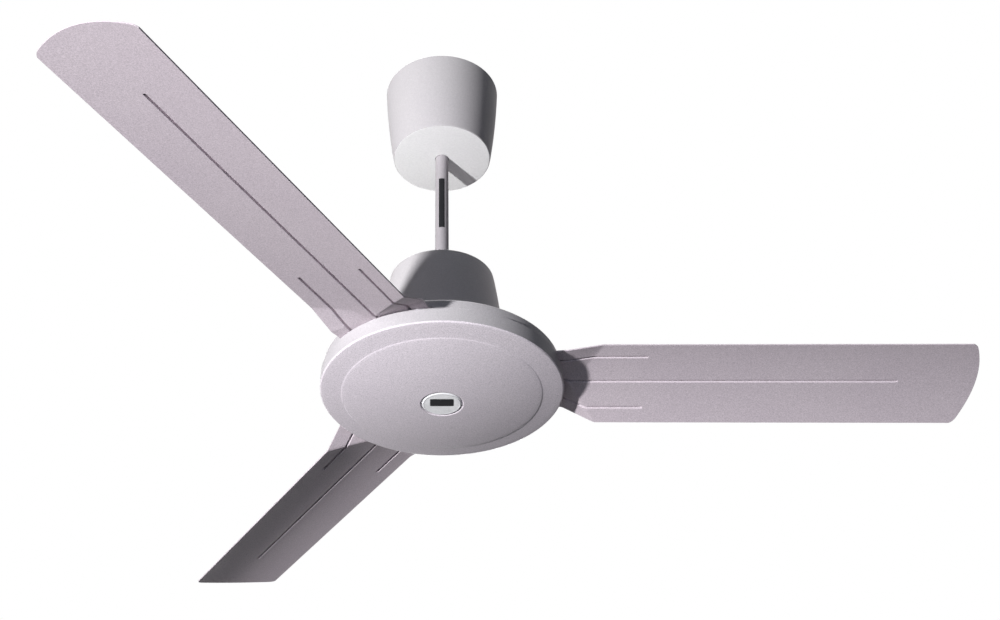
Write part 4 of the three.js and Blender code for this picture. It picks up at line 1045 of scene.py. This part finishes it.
def makeShackle():
    reach, top, foot = shackle["middle"], shackle["top"], shackle["foot"]
    leg = [(reach, foot + (top - foot) * share) for share in shackle["legShares"]]
    otherLeg = [(-across, height) for across, height in reversed(leg)]
    path = leg + arc((0, top), reach, 0, 180, 32) + otherLeg
    clearSelection()
    bpy.ops.mesh.primitive_grid_add(x_subdivisions=len(path) - 1, y_subdivisions=2, size=2)
    strap = started("shackleStrap")
    for vertex in strap.data.vertices:
        across, height = path[round((vertex.co.x + 1) / 2 * (len(path) - 1))]
        vertex.co = (vertex.co.y * shackle["half"] * mm, across * mm, height * mm)
    applied(strap, "SOLIDIFY", thickness=shackle["thick"] * mm, offset=0)
    cutAway(strap, drill(shackle["boltHole"], (0, 0, shackle["boltAt"]), reach=30, axis="Y"))
    softened(strap, shackle["soft"])
    finishWith(strap, "hanger", "zinc_steel", "shackle")


# terminal block beside the shackle

terminal = {
    "low": (-11.0, 13.7, -63.0), "high": (11.0, 25.7, -37.0), "poles": (-6.5, 0.0, 6.5),
    "entryMiddle": 19.7, "entry": 2.0, "entryDeep": 8.0, "well": 2.1, "wellHeight": -50.0,
    "wellDeep": 4.2, "screw": 1.8, "screwHigh": 1.6, "screwSink": 0.2, "slot": 0.35,
    "slotRise": 0.7, "slotReach": 3, "groove": 0.5, "grooveDeep": 1.2, "grooves": (-3.25, 3.25),
    "soft": 0.5, "screwSoft": 0.15,
}


def makeTerminal():
    low, high, slot, groove = (terminal[key] for key in ("low", "high", "slot", "groove"))
    deep, rise = terminal["wellDeep"], terminal["wellHeight"]
    front, well = high[1], high[1] - deep
    block = boxAt(low, high, "terminalBlockMoulded")
    heads = []
    for across in terminal["poles"]:
        cutAway(block,
                barAt(terminal["entry"], (across, terminal["entryMiddle"], low[2] - over),
                      terminal["entryDeep"] + over),
                barAt(terminal["well"], (across, well, rise), deep + over, "Y"))
        head = barAt(terminal["screw"], (across, well - terminal["screwSink"], rise),
                     terminal["screwHigh"], "Y")
        cutAway(head, boxAt(
            (across - slot, well + terminal["slotRise"], rise - terminal["slotReach"]),
            (across + slot, front, rise + terminal["slotReach"])))
        heads.append(head)
    for across in terminal["grooves"]:
        cutAway(block, boxAt((across - groove, front - terminal["grooveDeep"], low[2] - over),
                             (across + groove, front + over, high[2] + over)))
    softened(block, terminal["soft"])
    finishWith(block, "hanger", "white_plastic", "terminal_block")
    heads = softened(joined(*heads), terminal["screwSoft"])
    heads.name = "terminalScrews"
    finishWith(heads, "hanger", "bright_steel")


# rod coupling, lock nut and capacitor

coupling = {
    "radius": 14.0, "foot": deckHeight + 57.2, "top": deckHeight + 113.2, "edge": 0.4,
    "shaftBore": 8.8, "rodBore": 8.55, "web": (deckHeight + 75.5, deckHeight + 77.0),
    "webBore": 6.25, "topRound": 3.0, "footRound": 1.0, "hole": 3.3, "lockRadius": 15.0,
    "lockHigh": 7.0, "lockAt": deckHeight + 47.6,
}
capacitor = {
    "plateLow": (-14.0, -13.0), "plateHigh": (50.0, 13.0), "plateRound": 5.0, "plateSoft": 0.35,
    "plateAt": deckHeight + 54.9, "plateTop": deckHeight + 56.9, "shaftHole": 8.8,
    "screwHole": 1.8, "across": 37.0, "canLow": (27.0, -17.0), "canHigh": (47.0, 17.0),
    "canRound": 3.0, "canAt": deckHeight + 57.2, "canTop": deckHeight + 93.2, "canSoft": 1.0,
    "canScrewHole": 1.55, "canScrewDeep": 8.0, "rimInset": 1.4, "rimRound": 1.8, "rimDeep": 0.8,
}


def makeCoupling():
    outer, foot, top, edge = (coupling[key] for key in ("radius", "foot", "top", "edge"))
    low, high = coupling["web"]
    shaftBore, rodBore, webBore = coupling["shaftBore"], coupling["rodBore"], coupling["webBore"]
    footRound, topRound = coupling["footRound"], coupling["topRound"]
    profile = (
        [(shaftBore, foot + edge), (shaftBore + edge, foot)]
        + arc((outer - footRound, foot + footRound), footRound, -90, 0, 4)
        + arc((outer - topRound, top - topRound), topRound, 0, 90, 6)
        + [(rodBore + edge, top), (rodBore, top - edge), (rodBore, high), (webBore, high),
           (webBore, low), (shaftBore, low)])
    sleeve = spun("rodCouplingSleeve", profile, steps=72)
    for name in ("coupling", "shaft"):
        cutAway(sleeve, drill(coupling["hole"], (0, 0, crossBolts[name]["height"]), reach=30,
                              axis="Y"))
    finishWith(smooth(sleeve, degrees=30), "hanger", "zinc_steel", "rod_coupling")
    lock = hexPiece("lockNutChamfered", coupling["lockRadius"], coupling["lockHigh"], shaftBore)
    finishWith(put(lock, (0, 0, coupling["lockAt"])), "hanger", "zinc_steel", "lock_nut")


def makeCapacitor():
    row, inset, across = capacitor, capacitor["rimInset"], capacitor["across"]
    plate = roundedPlate("capacitorPlate", row["plateLow"], row["plateHigh"], row["plateRound"],
                         row["plateAt"], row["plateTop"])
    cutAway(plate, drill(row["shaftHole"], (0, 0, row["plateAt"]), reach=5, sides=48),
            drill(row["screwHole"], (across, 0, row["plateAt"]), reach=5))
    softened(plate, row["plateSoft"])
    finishWith(plate, "hanger", "zinc_steel", "capacitor_bracket")
    can = roundedPlate("capacitorCan", row["canLow"], row["canHigh"], row["canRound"],
                       row["canAt"], row["canTop"])
    softened(can, row["canSoft"], segments=3)
    # the lid lies a little below the can's rim
    lid = roundedPlate("tool", [part + inset for part in row["canLow"]],
                       [part - inset for part in row["canHigh"]], row["rimRound"],
                       row["canTop"] - row["rimDeep"], row["canTop"] + over)
    cutAway(can, lid, barAt(row["canScrewHole"], (across, 0, row["canAt"] - over),
                            row["canScrewDeep"] + over))
    finishWith(smooth(can, degrees=40), "hanger", "black_plastic", "capacitor")


# motor housing halves and the rubber grip rings

housing = {
    # each half as (radius, height over the disc's lower edge)
    "upper": [(65.8, 18.8), (70.0, 18.8), (70.0, 36.0), (67.0, 39.0), (24.8, 39.0), (24.8, 46.6),
              (11.0, 46.6), (11.0, 44.6), (20.3, 44.6), (20.3, 32.3), (24.8, 32.3), (24.8, 35.0),
              (65.8, 35.0)],
    "lower": [(0.0, -10.5), (24.8, -10.5), (24.8, -7.0), (67.0, -7.0), (70.0, -4.0),
              (70.0, 14.5), (120.0, 14.5), (120.0, 18.5), (65.8, 18.5), (65.8, -3.0),
              (24.8, -3.0), (24.8, 6.5), (20.3, 6.5), (20.3, -4.8), (0.0, -4.8)],
    "padRadius": 7.0, "padCircle": 76.0, "padFoot": 18.8, "padTop": 23.8, "padSoft": 0.6,
    "hole": 2.3, "holeMiddle": 20, "outerCircle": 113.0, "soft": 0.8,
}
gripRing = [
    # (radius, height over the cup's closed end), with two small lips round the bore
    (8.55, 3.2), (8.95, 2.8), (13.65, 2.8), (14.05, 3.2), (14.05, 10.4), (13.65, 10.8),
    (9.3, 10.8), (8.55, 10.0), (8.55, 8.6), (9.0, 8.1), (8.55, 7.6), (8.55, 6.2), (9.0, 5.7),
    (8.55, 5.2),
]


def eased(points, reach, closed=True):
    # small rounds at the corners of a profile, with rows beside them that keep the flats flat
    mostOfSide, band, longSide = 0.4, 0.6 * reach, 5 * reach
    result = []
    for index, point in enumerate(points):
        if not closed and index in (0, len(points) - 1):
            result.append(point)
            continue
        corner = Vector(point)
        first = Vector(points[index - 1]) - corner
        second = Vector(points[(index + 1) % len(points)]) - corner
        start = corner + first.normalized() * min(reach, first.length * mostOfSide)
        end = corner + second.normalized() * min(reach, second.length * mostOfSide)
        if first.length > longSide:
            result.append(tuple(start + first.normalized() * band))
        result += [tuple(start), tuple((start + end) * 0.25 + corner * 0.5), tuple(end)]
        if second.length > longSide:
            result.append(tuple(end + second.normalized() * band))
    return result


def makeHousings():
    soft, inner, outer = housing["soft"], housing["padCircle"], housing["outerCircle"]
    upper = spun("upperHousingCast", eased(housing["upper"], soft), steps=96, height=deck)
    lower = spun("lowerHousingCast", eased(housing["lower"], soft, closed=False), steps=96,
                 closed=False, height=deck)
    for index in range(3):
        pad = barAt(housing["padRadius"], (inner, 0, housing["padFoot"] + deckHeight),
                    housing["padTop"] - housing["padFoot"], sides=40)
        softened(pad, housing["padSoft"])
        pad.data.transform(turned(60 + 120 * index))
        joined(upper, pad)
    for piece, circle in ((upper, inner), (lower, inner), (lower, outer)):
        for index in range(3):
            hole = drill(housing["hole"], (circle, 0, deckHeight + housing["holeMiddle"]),
                         reach=10, sides=20)
            hole.data.transform(turned(60 + 120 * index))
            cutAway(piece, hole)
    for piece, node in ((upper, "motor_housing_upper"), (lower, "motor_housing_lower")):
        finishWith(smooth(piece, degrees=30), "rotor", "cast_housing", node)


def makeGripRings():
    ring = smooth(spun("canopyGripRing", gripRing, steps=64), degrees=30)
    second = copied(ring, "lowerCoverGripRing", Matrix.Rotation(pi, 4, "X"))
    put(ring, (0, 0, cup["canopyFoot"]))
    put(second, (0, 0, cup["coverTop"]))
    finishWith(ring, "canopy", "rubber", "canopy_grip_ring")
    finishWith(second, "lower_cover", "rubber", "lower_cover_grip_ring")


makeCups()
makeRod()
makeDisc()
makeBadge()
makeShell()
makeBlades()
makeCrossBolts()
makeScrews()
makeBracket()
makeShackle()
makeTerminal()
makeCoupling()
makeCapacitor()
makeHousings()
makeGripRings()


# finishes on the pieces carried over from the model

def carryOver():
    slots = {entry["node"]: entry["material_slot"] for entry in frame["record"]["subparts"]}
    count = 0
    for name, node in frame["nodes"].items():
        if node.hide_render or name not in slots:
            continue
        finish = finishes[slotFinish[slots[name]]]
        if not node.material_slots:
            continue
        for slot in node.material_slots:
            slot.material = finish
        count += 1
    print("finished", count, "carried-over pieces")


carryOver()


# stage, light and camera

stage = {
    # metres; the glow is what the floor adds to its own colour where it is seen directly
    "floorHeight": -2.6, "floorHalf": 12.0, "floorColour": (0.86, 0.86, 0.87), "glow": 0.62,
    "bounceColour": (0.06, 0.06, 0.065),
}


def seenDirectly(nodes, links):
    # 1 for what the camera sees straight, in a reflection or through glass
    path = nodes.new("ShaderNodeLightPath")
    source = path.outputs["Is Camera Ray"]
    for ray in ("Is Glossy Ray", "Is Transmission Ray"):
        either = nodes.new("ShaderNodeMath")
        either.operation = "MAXIMUM"
        links.new(source, either.inputs[0])
        links.new(path.outputs[ray], either.inputs[1])
        source = either.outputs["Value"]
    return source


def makeStage():
    clearSelection()
    bpy.ops.mesh.primitive_plane_add(
        size=2 * stage["floorHalf"], location=(0, 0, stage["floorHeight"]))
    floor = started("stageFloor")
    material = bpy.data.materials.new("stagePale")
    material.use_nodes = True
    nodes, links = material.node_tree.nodes, material.node_tree.links
    nodes.clear()
    seen = nodes.new("ShaderNodeBsdfDiffuse")
    seen.inputs["Color"].default_value = (*stage["floorColour"], 1)
    glow = nodes.new("ShaderNodeEmission")
    glow.inputs["Color"].default_value = (*stage["floorColour"], 1)
    glow.inputs["Strength"].default_value = stage["glow"]
    pale = nodes.new("ShaderNodeAddShader")
    links.new(seen.outputs["BSDF"], pale.inputs[0])
    links.new(glow.outputs["Emission"], pale.inputs[1])
    bounced = nodes.new("ShaderNodeBsdfDiffuse")
    bounced.inputs["Color"].default_value = (*stage["bounceColour"], 1)
    mix = nodes.new("ShaderNodeMixShader")
    output = nodes.new("ShaderNodeOutputMaterial")
    links.new(seenDirectly(nodes, links), mix.inputs[0])
    links.new(bounced.outputs["BSDF"], mix.inputs[1])
    links.new(pale.outputs["Shader"], mix.inputs[2])
    links.new(mix.outputs["Shader"], output.inputs["Surface"])
    floor.data.materials.append(material)


lamps = {
    # name: (direction it stands in, degrees below the horizon, distance, width, strength, colour),
    # with the distance and the width in metres
    "keyLamp": (229, 18.5, 3.3, 0.21, 1.76, (0.98, 0.99, 1.0)),
    "fillLamp": (268, 22, 2.6, 1.2, 0.10, (0.84, 0.96, 1.14)),
    "topLamp": (90, -84, 2.6, 1.4, 1.0, (1.0, 1.0, 1.0)),
    "backLamp": (90, -16, 3.0, 1.0, 0.9, (1.0, 1.0, 1.0)),
}
aim = Vector((0, 0, -0.42))        # where all lamps point, in metres
worldTone = {"ambient": (0.014, 0.017, 0.022), "white": (1.0, 1.0, 1.0)}


def makeLights():
    for name, (direction, below, distance, width, strength, colour) in lamps.items():
        turn, dip = radians(direction), radians(below)
        place = aim + distance * Vector((cos(turn) * cos(dip), sin(turn) * cos(dip), -sin(dip)))
        light = bpy.data.lights.new(name, "AREA")
        light.shape = "DISK"
        light.size = width
        light.energy = strength * pi ** 2 * distance ** 2
        light.color = colour
        lamp = bpy.data.objects.new(name, light)
        lamp.location = place
        lamp.rotation_euler = (aim - place).to_track_quat("-Z", "Y").to_euler()
        bpy.context.collection.objects.link(lamp)
    world = bpy.data.worlds.new("studioWorld")
    bpy.context.scene.world = world
    world.use_nodes = True
    nodes, links = world.node_tree.nodes, world.node_tree.links
    nodes.clear()
    soft = nodes.new("ShaderNodeBackground")
    soft.inputs["Color"].default_value = (*worldTone["ambient"], 1)
    pale = nodes.new("ShaderNodeBackground")
    pale.inputs["Color"].default_value = (*worldTone["white"], 1)
    mix = nodes.new("ShaderNodeMixShader")
    output = nodes.new("ShaderNodeOutputWorld")
    links.new(seenDirectly(nodes, links), mix.inputs[0])
    links.new(soft.outputs["Background"], mix.inputs[1])
    links.new(pale.outputs["Background"], mix.inputs[2])
    links.new(mix.outputs["Shader"], output.inputs["Surface"])


view = {
    # the photo's own angle: place in metres, tilt in radians, lens and sensor in mm
    "place": (0, -1.2505, -1.2935), "tilt": 0.6427, "lens": 48.09, "sensor": 36.0,
    "shift": 0.05807, "farthest": 50,
}


def makeCamera():
    camera = bpy.data.cameras.new("photoCamera")
    camera.sensor_width = view["sensor"]
    camera.lens = view["lens"]
    camera.shift_x = view["shift"]
    camera.clip_end = view["farthest"]
    eye = bpy.data.objects.new("photoCamera", camera)
    eye.location = view["place"]
    eye.rotation_euler = (pi / 2 + view["tilt"], 0, 0)
    bpy.context.collection.objects.link(eye)
    bpy.context.scene.camera = eye


makeStage()
makeLights()
makeCamera()
bpy.context.scene.view_settings.view_transform = "Standard"
print("stage, lamps and camera placed")
